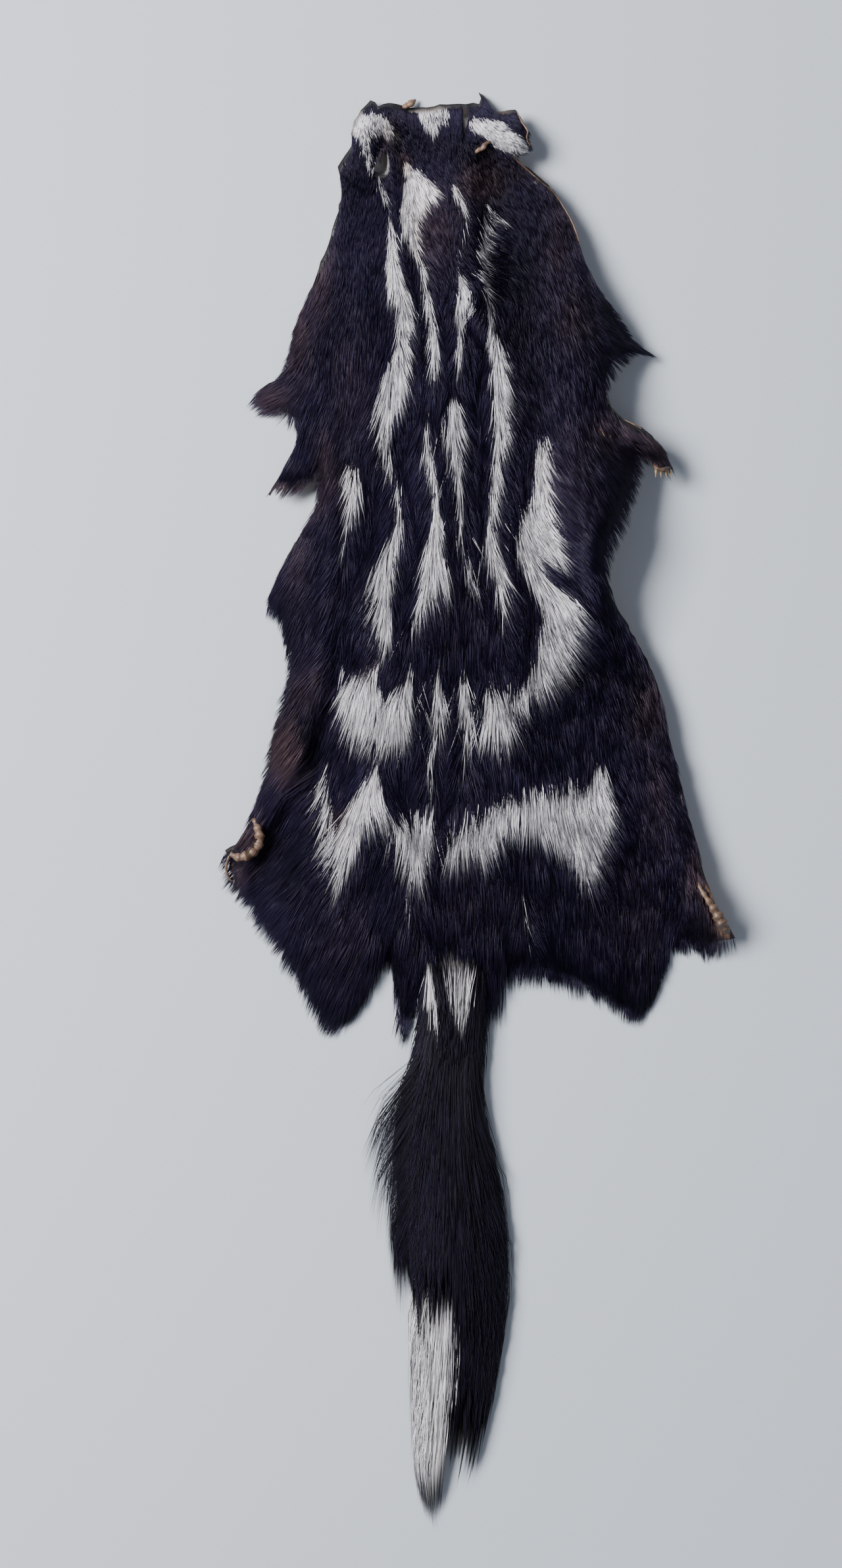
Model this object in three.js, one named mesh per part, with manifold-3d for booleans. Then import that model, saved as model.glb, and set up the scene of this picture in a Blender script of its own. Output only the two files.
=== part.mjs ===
// The pelt of a spotted skunk: the dried skin of the whole animal, slit along its belly and laid open with
// the fur side up. Millimetres. +X is the animal's right, +Y runs to the head, +Z is up, the floor is z = 0.
import * as THREE from 'three';
import { mergeVertices } from 'three/addons/utils/BufferGeometryUtils.js';
import Module from 'manifold-3d';

const wasm = await Module();
wasm.setup();

// Driving dimensions
const BOX_CENTRE = [23.5, -10]; // middle of the pelt in the plan's own measure, where the origin goes
const SKIN = 1.3; // thickness of the dried skin
const SHORT_FUR = 0.4; // depth of the coat at the skin's edge
const CORE = 3; // depth of packed underfur on the back
const CORE_EDGE = 14; // distance from the edge over which the underfur thins out
const CELL = [12, 17]; // mesh step across and along the sheet
const MARGIN = 5; // how far that mesh reaches past the skin before it is trimmed
const NODE_GAP = 0.3; // clear gap between two neighbouring nodes
const SKY = 90; // height of the tools that trim and part the sheet
const SEED = 5339;

// The locks of the coat
const COAT_AREA = { left: -74, right: 120, top: 254, bottom: -76 };
const LOCK_STEP = [17, 22]; // spacing across and along
const LOCK_JITTER = [3, 4]; // how far a root may stray from its place in the rows
const LOCK_INSET = 4.5; // least distance from a root to the skin's edge
const LOCK_WIDTH = 17; // widest part of a lock on the back
const LOCK_SLENDER = 0.55; // width of a short lock, as a share of its length
const LOCK_LIFT = 3; // how far a lock's middle stands over the underfur
const FULL_LIFT_LENGTH = 22; // a shorter lock stands up less
const ROOT_DEPTH = 1.5; // how deep a lock's root sits in the underfur
const FLOOR_CLEAR = 0.6; // no lock reaches lower than this
const SHAGGY_EDGES = ['rightNeck', 'rightFlank', 'leftFlank', 'leftNeck']; // stretches whose coat hangs over
const EDGE_LOCK_STEP = 19; // spacing of the locks along them
const EDGE_LOCK_INSET = 5; // how far inside the edge they are rooted
const EDGE_LOCK_SPLAY = 0.14; // radians by which they lean outwards from the lie of the coat
const EDGE_LOCK_LENGTH = 0.8; // their length, as a share of the coat's

// The claws of the right forefoot, in a row
const CLAWS = 4;
const FIRST_CLAW = [90.5, 122.8];
const CLAW_STEP = 1.6;
const CLAW = { length: 5.5, half: 0.85, drop: -1 };

const COAT_BLACK = new THREE.MeshStandardMaterial({ color: 0x17131a, roughness: 0.55, metalness: 0 });
const CLAW_HORN = new THREE.MeshStandardMaterial({ color: 0x8d7a5c, roughness: 0.4, metalness: 0 });
const COAT_WHITE = new THREE.MeshStandardMaterial({ color: 0xd9d2cc, roughness: 0.6, metalness: 0 });

// The skin's edge in plan, clockwise from the left corner of the brow. Each stretch is one smooth curve, and
// two stretches meet at a corner.
const SKIN_EDGE = {
  brow: [[-22.5, 257], [-20, 262.3], [-16.5, 261], [-9, 261.5], [0, 259.5], [12, 261.4], [26, 260],
    [36, 259.5]],
  rightCheek: [[36, 259.5], [39, 254], [41.5, 250], [42, 246]],
  rightCheekUnder: [[42, 246], [38, 243.3], [33.5, 243]],
  rightNeck: [[33.5, 243], [50, 229], [58, 216], [64, 199], [75, 180], [81, 171], [88.5, 165.5]],
  rightBreastUnder: [[88.5, 165.5], [80, 165.5], [74, 160], [70.5, 151]],
  rightForeleg: [[70.5, 151], [79, 141], [89.5, 133], [95.5, 121.5]],
  rightPaw: [[95.5, 121.5], [91, 121.5], [88, 126], [83, 126.5]],
  rightFlank: [[83, 126.5], [79, 110], [73, 92], [71.5, 77], [79, 62], [90, 41], [94.5, 22], [99, 1],
    [105, -21], [112, -43], [121, -59.5]],
  rightHind: [[121, -59.5], [110, -57.5], [98, -55]],
  rightThigh: [[98, -55], [91, -62], [88, -77], [83, -82], [67, -72], [47, -65], [27, -64]],
  tailRoot: [[27, -64], [23, -78], [20, -92], [7, -92], [2, -80], [-1.5, -72]],
  strip: [[-1.5, -72], [-2.5, -92], [-6.5, -94], [-8, -84], [-12.5, -63]],
  leftThigh: [[-12.5, -63], [-18, -65], [-24, -79], [-33, -87], [-43, -76], [-54, -57], [-73.5, -35]],
  leftHind: [[-73.5, -35], [-75, -30], [-75.5, -25.5]],
  leftFlank: [[-75.5, -25.5], [-67, -17], [-61, -3], [-56.5, 15], [-49.5, 42], [-54, 68], [-47.5, 90],
    [-40, 105], [-41, 117]],
  leftPaw: [[-41, 117], [-47, 113.5], [-57.5, 110.5]],
  leftForeleg: [[-57.5, 110.5], [-52, 121], [-46, 133], [-51, 142], [-60, 143.5]],
  leftBreast: [[-60, 143.5], [-63, 148]],
  leftNeck: [[-63, 148], [-52, 158], [-47.5, 177], [-38, 202], [-31, 225], [-31.5, 238]],
  leftCheek: [[-31.5, 238], [-25.5, 247], [-22.5, 257]],
};
const EDGE_STEP = 8; // length of one straight piece of that edge
const EYE_SLIT = { centre: [-15, 241], half: [1.9, 5.2], turn: -0.1 };

// Ridges of the dried skin: a crest line of places with their height off the floor, and how wide it falls
// away to its left and right.
const RIDGES = [
  { crest: [[16, 243, 9], [18, 215, 12], [19, 190, 11], [21, 168, 5]], left: 9, right: 8 },
  { crest: [[-9, 242, 9], [-8, 215, 8], [-6, 190, 7], [-4, 170, 4]], left: 9, right: 8 },
  { crest: [[44, 222, 10], [53, 190, 19], [60, 160, 22], [63, 130, 24], [67, 96, 27], [70, 74, 20],
    [80, 52, 10], [92, 20, 9], [102, -28, 11]], left: 15, right: 24 },
  { crest: [[112, -44, 10], [119, -57, 8]], left: 10, right: 14 },
  { crest: [[-23, 200, 5], [-25, 130, 8], [-25, 60, 6]], left: 9, right: 12 },
  { crest: [[-50, 180, 4], [-50, 130, 6], [-50, 70, 5]], left: 14, right: 9 },
  { crest: [[4, 150, 5], [6, 100, 6], [9, 50, 3]], left: 12, right: 12 },
  { crest: [[-58, 4, 5], [-67, -28, 10]], left: 12, right: 10 },
  { crest: [[-18, 12, 3], [-22, -56, 5]], left: 12, right: 12 },
  { crest: [[28, 2, 5], [33, -56, 5]], left: 14, right: 14 },
  { crest: [[29, 252, 12], [36, 249, 14]], left: 12, right: 12 },
  { crest: [[-21, 254, 10], [-21, 240, 6]], left: 9, right: 9 },
  { crest: [[86, 136, 8], [94, 124, 8]], left: 9, right: 9 },
  { crest: [[-50, 120, 4], [-57, 111, 6]], left: 8, right: 8 },
];
const FLOOR_SINK = 1.5; // where the ridges add up to less than this, the skin lies flat on the floor

// How the coat lies: the lean of the hair at a place, in degrees from straight back, + to the right.
const COMB = [
  [-20, 252, 8], [-5, 250, 28], [8, 252, -4], [30, 250, 40], [-27, 220, -6], [-3, 222, 16], [16, 215, 10],
  [27, 200, 40], [50, 212, 20], [80, 168, 55], [-58, 148, -60], [-48, 180, -35], [-28, 160, 0], [-6, 178, 22],
  [15, 165, 0], [33, 150, 14], [62, 150, 12], [-54, 114, -40], [86, 132, 48], [-56, 78, -36], [-28, 95, -5],
  [2, 80, 0], [28, 85, 18], [55, 86, 40], [60, 52, 24], [78, 60, 25], [-62, 12, -44], [-30, 25, -6], [5, 20, 0],
  [60, 15, 10], [98, 0, 20], [-40, -10, -20], [-12, -15, 4], [30, -20, 4], [66, -30, 16], [108, -45, 20],
  [-62, -40, -42], [-36, -62, -15], [4, -60, 2], [60, -62, 6], [98, -55, -6], [84, -74, 0],
];
// Length of the coat at the spine, by y
const COAT_LENGTH = [[262, 7], [236, 10], [200, 17], [150, 24], [80, 28], [0, 32], [-95, 28]];
const SPINE_X = 12;
const SIDE_REACH = 110; // distance from the spine at which the coat is shortest
const SIDE_LENGTH = 0.55; // share of the spine's coat length that is left there

// The tail: places along the axis of its skin tube, with half width and height, and the length and fan of its
// locks.
const TAIL = [
  { at: [13.5, -66, 6.5], half: [10, 4.5], coat: 38, fan: [12, 12] },
  { at: [12, -96, 7], half: [8, 5], coat: 50, fan: [56, 24] },
  { at: [11, -126, 6.5], half: [6.5, 4.5], coat: 56, fan: [46, 30] },
  { at: [12.5, -158, 6], half: [5, 4], coat: 60, fan: [32, 32] },
  { at: [13, -188, 5], half: [4, 3.4], coat: 66, fan: [26, 24] },
  { at: [12, -210, 4], half: [2.6, 2.4], coat: 74, fan: [20, 4] },
];
const TAIL_SIDES = 8; // sides of the skin tube
const TAIL_STATIONS = 8; // its steps from root to end
const TAIL_POINT = 6; // length of its pointed end
const TAIL_ROWS = 8;
const TAIL_LOCKS_A_ROW = 4;
const TAIL_ROW_RANGE = [0.06, 0.97]; // first and last row, as shares of the tube
const TAIL_LOCK_WIDTH = 10;
const TAIL_LIFT = 3; // how far a tail lock's middle bows up
const TAIL_SPREAD = 1.25; // radians to each side of the top over which the locks are set
const TAIL_ROOT_DEPTH = 0.73; // a root's distance from the axis, as a share of the tube's half width
const TAIL_CURL = 0.45; // share of its fan that a lock loses towards its tip
const TAIL_LAID = 0.6; // locks further out or further back than this lie down to the floor

// Saw lines that part the pelt, each a line in plan.
const SAW_LINES = {
  headBack: [[-60, 230], [-20, 232], [20, 237], [34, 243.4], [60, 246]],
  leftCheekSide: [[-10, 290], [-10, 232.8]],
  rightCheekSide: [[19, 290], [20, 236.6]],
  rightSide: [[31, 242.6], [38, 185], [45, 140], [56, 105], [58, 60], [66, 0], [66, -120]],
  neckBack: [[-90, 182], [39, 182]],
  shoulderBack: [[-34, 124], [50.2, 124]],
  backEnd: [[-90, 62], [58.4, 62]],
  loinEnd: [[-90, -4], [66.5, -4]],
  leftPawEnd: [[-75, 130], [-45.5, 130], [-34, 124], [-36, 100], [-60, 100]],
  leftHindEnd: [[-56, -3.6], [-52, -60], [-62, -100]],
  rightNeckEnd: [[38.6, 178], [120, 190]],
  rightBreastEnd: [[44.8, 139], [70, 150.5], [100, 153]],
  rightPawEnd: [[76, 160], [79, 138], [83, 126], [84, 108]],
  clawRow: [[88.5, 120.9], [99, 120.9]],
  rightFlankEnd: [[59.7, 44], [130, 36]],
  tailTop: [[-17, -95], [-12.4, -62.5], [-1.2, -65.5], [30, -65.5], [50, -90]],
  stripSide: [[-0.8, -65], [-1.6, -92], [-3, -110]],
};

// Each node's name, a place in plan that it covers, and its coat.
const NODES = {
  head_skin: [[5, 250], COAT_BLACK],
  left_cheek: [[-20, 255], COAT_WHITE],
  right_cheek: [[30, 252], COAT_WHITE],
  neck: [[5, 210], COAT_BLACK],
  shoulders: [[5, 150], COAT_BLACK],
  back: [[5, 95], COAT_BLACK],
  loin: [[5, 30], COAT_BLACK],
  rump: [[12, -35], COAT_BLACK],
  left_foreleg_skin: [[-50, 118], COAT_BLACK],
  left_hindleg_skin: [[-64, -30], COAT_BLACK],
  right_neck_side: [[48, 205], COAT_BLACK],
  right_breast_skin: [[60, 165], COAT_BLACK],
  right_foreleg_skin: [[86, 131], COAT_BLACK],
  right_flank: [[66, 90], COAT_BLACK],
  right_hindleg_skin: [[85, -20], COAT_BLACK],
  ...Object.fromEntries(Array.from({ length: CLAWS }, (_, k) =>
    [`right_claw_${k + 1}`, [[FIRST_CLAW[0] + k * (CLAW_STEP + 0.25), 119.8], CLAW_HORN]])),
  belly_strip: [[-6, -78], COAT_BLACK],
  tail: [[12, -90], COAT_BLACK],
};

// Small helpers
function seeded(seed) {
  let state = seed;
  return () => {
    state = (state * 1664525 + 1013904223) % 4294967296;
    return state / 4294967296;
  };
}
const random = seeded(SEED);
const between = (low, high) => low + (high - low) * random();
const mix = (a, b, t) => a + (b - a) * t;
const smooth = (t) => {
  const clamped = Math.min(1, Math.max(0, t));
  return clamped * clamped * (3 - 2 * clamped);
};

// Distance from a place to a line piece, how far along it the nearest point is, and whether the place lies to
// the left of that point.
function alongLine([x, y], [ax, ay], [bx, by]) {
  const [dx, dy] = [bx - ax, by - ay];
  const t = Math.min(1, Math.max(0, ((x - ax) * dx + (y - ay) * dy) / (dx * dx + dy * dy)));
  const distance = Math.hypot(x - ax - t * dx, y - ay - t * dy);
  return { t, distance, onLeft: x < ax + t * dx };
}

const edge = Object.values(SKIN_EDGE).flatMap((stretch) => {
  const curve = new THREE.SplineCurve(stretch.map(([x, y]) => new THREE.Vector2(x, y)));
  const pieces = Math.max(1, Math.round(curve.getLength() / EDGE_STEP));
  return curve.getSpacedPoints(pieces).slice(0, -1);
});

function toEdge(x, y) {
  let nearest = Infinity;
  edge.forEach((p, i) => {
    const q = edge[(i + 1) % edge.length];
    nearest = Math.min(nearest, alongLine([x, y], [p.x, p.y], [q.x, q.y]).distance);
  });
  return nearest;
}

function onSkin(x, y) {
  let inside = false;
  edge.forEach((p, i) => {
    const q = edge[(i + 1) % edge.length];
    if (p.y > y !== q.y > y && x < ((q.x - p.x) * (y - p.y)) / (q.y - p.y) + p.x) inside = !inside;
  });
  return inside;
}

// Heights of the sheet
function under(x, y) {
  let rise = 0;
  for (const { crest, left, right } of RIDGES) {
    let nearest = { distance: Infinity };
    crest.slice(1).forEach((to, i) => {
      const found = alongLine([x, y], crest[i], to);
      if (found.distance < nearest.distance) nearest = { ...found, height: mix(crest[i][2], to[2], found.t) };
    });
    rise += nearest.height * Math.exp(-((nearest.distance / (nearest.onLeft ? left : right)) ** 2));
  }
  return Math.max(0, rise - FLOOR_SINK);
}

function underfur(x, y) {
  return onSkin(x, y) ? CORE * smooth(toEdge(x, y) / CORE_EDGE) : 0;
}

const skinTop = (x, y) => under(x, y) + SKIN;
const coreTop = (x, y) => skinTop(x, y) + underfur(x, y) + SHORT_FUR;

function lieAt(x, y) {
  let [sum, weight] = [0, 0];
  for (const [cx, cy, lean] of COMB) {
    const w = 1 / ((x - cx) ** 2 + (y - cy) ** 2 + 16) ** 1.5;
    sum += w * lean;
    weight += w;
  }
  return THREE.MathUtils.degToRad(sum / weight);
}

function coatLength(x, y) {
  const rows = COAT_LENGTH;
  let i = 0;
  while (i < rows.length - 2 && rows[i + 1][0] > y) i += 1;
  const t = smooth((rows[i][0] - y) / (rows[i][0] - rows[i + 1][0]));
  const side = mix(1, SIDE_LENGTH, smooth(Math.abs(x - SPINE_X) / SIDE_REACH));
  return mix(rows[i][1], rows[i + 1][1], t) * side;
}

// Closed meshes
function solid(points, faces) {
  const geometry = new THREE.BufferGeometry();
  geometry.setAttribute('position', new THREE.Float32BufferAttribute(points, 3));
  geometry.setIndex(faces);
  return manifold(geometry);
}

function manifold(geometry) {
  const bare = geometry.clone();
  bare.deleteAttribute('normal');
  bare.deleteAttribute('uv');
  const merged = mergeVertices(bare, 1e-4);
  const made = new wasm.Mesh({
    numProp: 3,
    vertProperties: merged.attributes.position.array,
    triVerts: new Uint32Array(merged.index.array),
  });
  return new wasm.Manifold(made);
}

// A body through rings of the same number of points, anticlockwise as seen from its far end, up to a tip
function loft(rings) {
  const sides = rings[0].length;
  const faces = [];
  for (let k = 1; k < sides - 1; k += 1) faces.push(0, k + 1, k);
  rings.slice(1).forEach((ring, r) => {
    const [near, far] = [r * sides, (r + 1) * sides];
    for (let k = 0; k < sides; k += 1) {
      const next = (k + 1) % sides;
      if (ring.length === 1) faces.push(near + k, near + next, far);
      else faces.push(near + k, far + next, far + k, near + k, near + next, far + next);
    }
  });
  return solid(rings.flat(2), faces);
}

// The sheet before it is trimmed: a grid whose two faces are split into the same triangles.
function slab(top, bottom) {
  const xs = edge.map((p) => p.x);
  const ys = edge.map((p) => p.y);
  const low = [Math.min(...xs) - MARGIN, Math.min(...ys) - MARGIN];
  const columns = Math.ceil((Math.max(...xs) + MARGIN - low[0]) / CELL[0]);
  const rows = Math.ceil((Math.max(...ys) + MARGIN - low[1]) / CELL[1]);
  const layer = (columns + 1) * (rows + 1);
  const points = [];
  for (const height of [top, bottom])
    for (let j = 0; j <= rows; j += 1)
      for (let i = 0; i <= columns; i += 1) {
        const [x, y] = [low[0] + i * CELL[0], low[1] + j * CELL[1]];
        points.push(x, y, height(x, y));
      }
  const at = (i, j) => j * (columns + 1) + i;
  const faces = [];
  for (let j = 0; j < rows; j += 1)
    for (let i = 0; i < columns; i += 1) {
      const [a, b, c, d] = [at(i, j), at(i + 1, j), at(i + 1, j + 1), at(i, j + 1)];
      faces.push(a, b, c, a, c, d, a + layer, c + layer, b + layer, a + layer, d + layer, c + layer);
    }
  const wall = (p, q) => faces.push(p, p + layer, q + layer, p, q + layer, q);
  for (let i = 0; i < columns; i += 1) {
    wall(at(i, 0), at(i + 1, 0));
    wall(at(i + 1, rows), at(i, rows));
  }
  for (let j = 0; j < rows; j += 1) {
    wall(at(0, j + 1), at(0, j));
    wall(at(columns, j), at(columns, j + 1));
  }
  return solid(points, faces);
}

function prism(outline) {
  const shape = new THREE.Shape(outline);
  const geometry = new THREE.ExtrudeGeometry(shape, { depth: SKY, bevelEnabled: false, steps: 1 });
  return manifold(geometry.translate(0, 0, -SKY / 4));
}

function sawCut(line) {
  const half = NODE_GAP / 2;
  const points = line.map(([x, y]) => new THREE.Vector2(x, y));
  const sides = [half, -half].map((offset) =>
    points.map((p, i) => {
      const [before, after] = [points[Math.max(i - 1, 0)], points[Math.min(i + 1, points.length - 1)]];
      const run = after.clone().sub(before).normalize();
      return p.clone().add(new THREE.Vector2(-run.y, run.x).multiplyScalar(offset));
    }));
  return prism([...sides[1], ...sides[0].reverse()]);
}

function eyeSlit() {
  const { centre, half, turn } = EYE_SLIT;
  const ellipse = new THREE.EllipseCurve(...centre, ...half, 0, 2 * Math.PI, false, turn);
  return prism(ellipse.getPoints(10).slice(0, -1));
}

// One flat, tapered lock along its own path, at shares s of its length. Its section is a shallow triangle
// with the crest up, and rise is how much of its lift it has there.
const LOCK_SHAPE = [
  { s: 0, width: 0.4, thick: 1, rise: -0.6 },
  { s: 0.22, width: 1, thick: 1.6, rise: 0.7 },
  { s: 0.58, width: 0.9, thick: 1.4, rise: 1.1 },
  { s: 0.86, width: 0.45, thick: 1, rise: 0.9 },
];
const FREE_TIP_RISE = 0.4;
const HELD_TIP_RISE = -0.4; // a tip that reaches over a saw line is sunk into the next node's coat
const LOOK_AHEAD = 0.05; // share of the length over which a path's direction is read

function crossesSaw([ax, ay], [bx, by]) {
  const side = ([px, py], [qx, qy], [x, y]) => (qx - px) * (y - py) - (qy - py) * (x - px) > 0;
  const [a, b] = [[ax, ay], [bx, by]];
  return Object.values(SAW_LINES).some((line) => line.slice(1).some((q, i) =>
    side(line[i], q, a) !== side(line[i], q, b) && side(a, b, line[i]) !== side(a, b, q)));
}

function lock(path, width) {
  const rings = LOCK_SHAPE.map(({ s, width: share, thick, rise }) => {
    const [x, y, z] = path(s, rise);
    const [nx, ny] = path(s + LOOK_AHEAD, rise);
    const run = new THREE.Vector2(nx - x, ny - y).normalize();
    const half = (width * share) / 2;
    return [
      [x - run.y * half, y + run.x * half, z],
      [x, y, z + thick],
      [x + run.y * half, y - run.x * half, z],
    ];
  });
  const tip = path(1, crossesSaw(path(0, 0), path(1, 0)) ? HELD_TIP_RISE : FREE_TIP_RISE);
  return loft([...rings, [tip]]);
}

function coatLock(x0, y0, splay = 0, share = 1) {
  const length = coatLength(x0, y0) * share * between(0.88, 1.15);
  const lean = lieAt(x0, y0) + splay + between(-0.14, 0.14);
  const bend = between(-0.22, 0.22);
  const lift = LOCK_LIFT * Math.min(1, length / FULL_LIFT_LENGTH) * between(0.75, 1.25);
  const path = (s, rise) => {
    const turn = lean + bend * s;
    const [x, y] = [x0 + Math.sin(turn) * length * s, y0 - Math.cos(turn) * length * s];
    const stand = s === 0 ? -ROOT_DEPTH : lift * rise;
    return [x, y, Math.max(FLOOR_CLEAR, coreTop(x, y) + stand)];
  };
  return lock(path, Math.min(LOCK_WIDTH, length * LOCK_SLENDER) * between(0.85, 1.1));
}

// Locks in staggered rows over the whole skin
function coatLocks() {
  const { left, right, top, bottom } = COAT_AREA;
  const made = [];
  for (let row = 0; top - row * LOCK_STEP[1] > bottom; row += 1)
    for (let x = left + (row % 2) * (LOCK_STEP[0] / 2); x < right; x += LOCK_STEP[0]) {
      const y = top - row * LOCK_STEP[1];
      const place = [x + between(-1, 1) * LOCK_JITTER[0], y + between(-1, 1) * LOCK_JITTER[1]];
      if (onSkin(...place) && toEdge(...place) > LOCK_INSET) made.push(coatLock(...place));
    }
  return made;
}

// Locks that hang over the sides, rooted just inside the skin's edge
function edgeLocks() {
  return SHAGGY_EDGES.flatMap((name) => {
    const curve = new THREE.SplineCurve(SKIN_EDGE[name].map(([x, y]) => new THREE.Vector2(x, y)));
    const count = Math.round(curve.getLength() / EDGE_LOCK_STEP);
    return Array.from({ length: count }, (_, i) => {
      const share = (i + between(0.3, 0.7)) / count;
      const [place, run] = [curve.getPointAt(share), curve.getTangentAt(share)];
      const outward = new THREE.Vector2(-run.y, run.x);
      const root = place.clone().addScaledVector(outward, -EDGE_LOCK_INSET);
      const splay = Math.sign(outward.x) * EDGE_LOCK_SPLAY;
      return coatLock(root.x, root.y, splay, EDGE_LOCK_LENGTH);
    });
  });
}

// The tail's tube, and a place and frame on it at a share of its length
const tailAxis = new THREE.CatmullRomCurve3(TAIL.map(({ at }) => new THREE.Vector3(...at)));

function tailAt(share) {
  const place = Math.min(TAIL.length - 1.0001, share * (TAIL.length - 1));
  const [a, b, t] = [TAIL[Math.floor(place)], TAIL[Math.floor(place) + 1], place % 1];
  const pair = (key) => a[key].map((value, i) => mix(value, b[key][i], t));
  const [half, fan] = [pair('half'), pair('fan')];
  return { centre: tailAxis.getPoint(share), half, fan, coat: mix(a.coat, b.coat, t) };
}

function tailTube() {
  const rings = [];
  for (let r = 0; r <= TAIL_STATIONS; r += 1) {
    const { centre, half } = tailAt(r / TAIL_STATIONS);
    const ring = [];
    for (let k = 0; k < TAIL_SIDES; k += 1) {
      const turn = ((k + 0.5) / TAIL_SIDES) * 2 * Math.PI;
      ring.push([centre.x + half[0] * Math.cos(turn), centre.y, centre.z + half[1] * Math.sin(turn)]);
    }
    rings.push(ring);
  }
  const end = tailAt(1).centre;
  return loft([...rings, [[end.x, end.y - TAIL_POINT, end.z]]]);
}

// One lock of the tail, from side -1 at its left to 1 at its right
function tailLock(share, side) {
  const { centre, half, coat, fan } = tailAt(share);
  const turn = Math.PI / 2 - side * TAIL_SPREAD;
  const [reach, height] = half.map((value) => value * TAIL_ROOT_DEPTH);
  const root = [centre.x + reach * Math.cos(turn), centre.y, centre.z + height * Math.sin(turn)];
  const length = coat * between(0.85, 1.12);
  const lean = THREE.MathUtils.degToRad((side < 0 ? fan[0] : fan[1]) * side + between(-4, 4));
  const laid = Math.abs(side) > TAIL_LAID || share > TAIL_LAID;
  const tipHeight = laid ? between(1.4, 3.4) : root[2] - between(1, 3);
  const path = (s) => {
    const angle = lean * (1 - TAIL_CURL * s);
    return [
      root[0] + Math.sin(angle) * length * s,
      root[1] - Math.cos(angle) * length * s,
      root[2] + TAIL_LIFT * Math.sin(Math.PI * s) - s * s * (root[2] - tipHeight),
    ];
  };
  return lock(path, TAIL_LOCK_WIDTH * between(0.8, 1.15));
}

function tailLocks() {
  const made = [];
  for (let row = 0; row < TAIL_ROWS; row += 1)
    for (let k = 0; k < TAIL_LOCKS_A_ROW; k += 1) {
      const side = ((k + (row % 2) / 2) / (TAIL_LOCKS_A_ROW - 0.5)) * 2 - 1;
      made.push(tailLock(mix(...TAIL_ROW_RANGE, row / (TAIL_ROWS - 1)), side));
    }
  return made;
}

// A small horn with its root in the skin, for the claws and the dried scraps on the brow
function horn([x, y], lean, { length, half, drop }) {
  const turn = THREE.MathUtils.degToRad(lean);
  const [across, along] = [[Math.cos(turn), Math.sin(turn)], [Math.sin(turn), -Math.cos(turn)]];
  const at = (s) => [x + along[0] * length * s, y + along[1] * length * s, skinTop(x, y) + drop * s];
  const rings = [[0, half], [0.55, 0.7 * half]].map(([s, w]) => {
    const [cx, cy, cz] = at(s);
    return [
      [cx + across[0] * w, cy + across[1] * w, cz - w / 2],
      [cx, cy, cz + w],
      [cx - across[0] * w, cy - across[1] * w, cz - w / 2],
    ];
  });
  return loft([...rings, [at(1)]]);
}

function claws() {
  return Array.from({ length: CLAWS }, (_, k) =>
    horn([FIRST_CLAW[0] + k * CLAW_STEP, FIRST_CLAW[1]], -6 + 6 * k, CLAW));
}

function browScraps() {
  return [
    horn([-6, 259.5], 138, { length: 6, half: 1.5, drop: 2 }),
    horn([25, 258.5], 200, { length: 8.5, half: 2, drop: 4 }),
  ];
}

// The whole pelt, joined, parted by the saw lines, and sorted into its nodes
const sheet = slab(coreTop, under).intersect(prism(edge)).subtract(eyeSlit());
const whole = wasm.Manifold.union([
  sheet, tailTube(), ...coatLocks(), ...edgeLocks(), ...tailLocks(), ...claws(), ...browScraps(),
]);
const saws = wasm.Manifold.union(Object.values(SAW_LINES).map(sawCut));
const pieces = whole.subtract(saws).decompose().filter((piece) => piece.volume() > 0);

function covers(piece, [x, y]) {
  const { vertProperties: v, triVerts: f, numProp: n } = piece.getMesh();
  const cross = (i, j) => (v[n * i] - x) * (v[n * j + 1] - y) - (v[n * j] - x) * (v[n * i + 1] - y);
  for (let k = 0; k < f.length; k += 3) {
    const [a, b, c] = [cross(f[k], f[k + 1]), cross(f[k + 1], f[k + 2]), cross(f[k + 2], f[k])];
    if (a > 0 && b > 0 && c > 0) return true;
  }
  return false;
}

function nodeMesh(name, [place, material]) {
  const found = pieces.filter((piece) => covers(piece, place)).sort((a, b) => b.volume() - a.volume());
  if (!found.length) throw new Error(`no piece of the pelt covers ${name}`);
  const { vertProperties, triVerts } = found[0].getMesh();
  const geometry = new THREE.BufferGeometry();
  geometry.setAttribute('position', new THREE.BufferAttribute(new Float32Array(vertProperties), 3));
  geometry.setIndex(new THREE.BufferAttribute(new Uint32Array(triVerts), 1));
  geometry.computeVertexNormals();
  const mesh = new THREE.Mesh(geometry, material);
  mesh.name = name;
  return mesh;
}

const pelt = new THREE.Group();
Object.entries(NODES).forEach(([name, node]) => pelt.add(nodeMesh(name, node)));
pelt.position.set(-BOX_CENTRE[0], -BOX_CENTRE[1], 0);

export default pelt;
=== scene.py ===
# %% [markdown]
# # The pelt of a spotted skunk
# A dried pelt is the skin of the whole animal, slit along its belly and laid open with the fur side up. It has
# two parts to model: a stiff sheet of rawhide with a wavy relief, and a coat of some ninety thousand hairs
# that lie along it. The hairs carry almost everything that the eye sees, so most cells below are about where
# they grow, which way they lie, how long they are and which of them are white.

# %% Load the frame
import math

import bmesh
import bpy
import numpy as np
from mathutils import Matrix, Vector, geometry, kdtree


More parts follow.
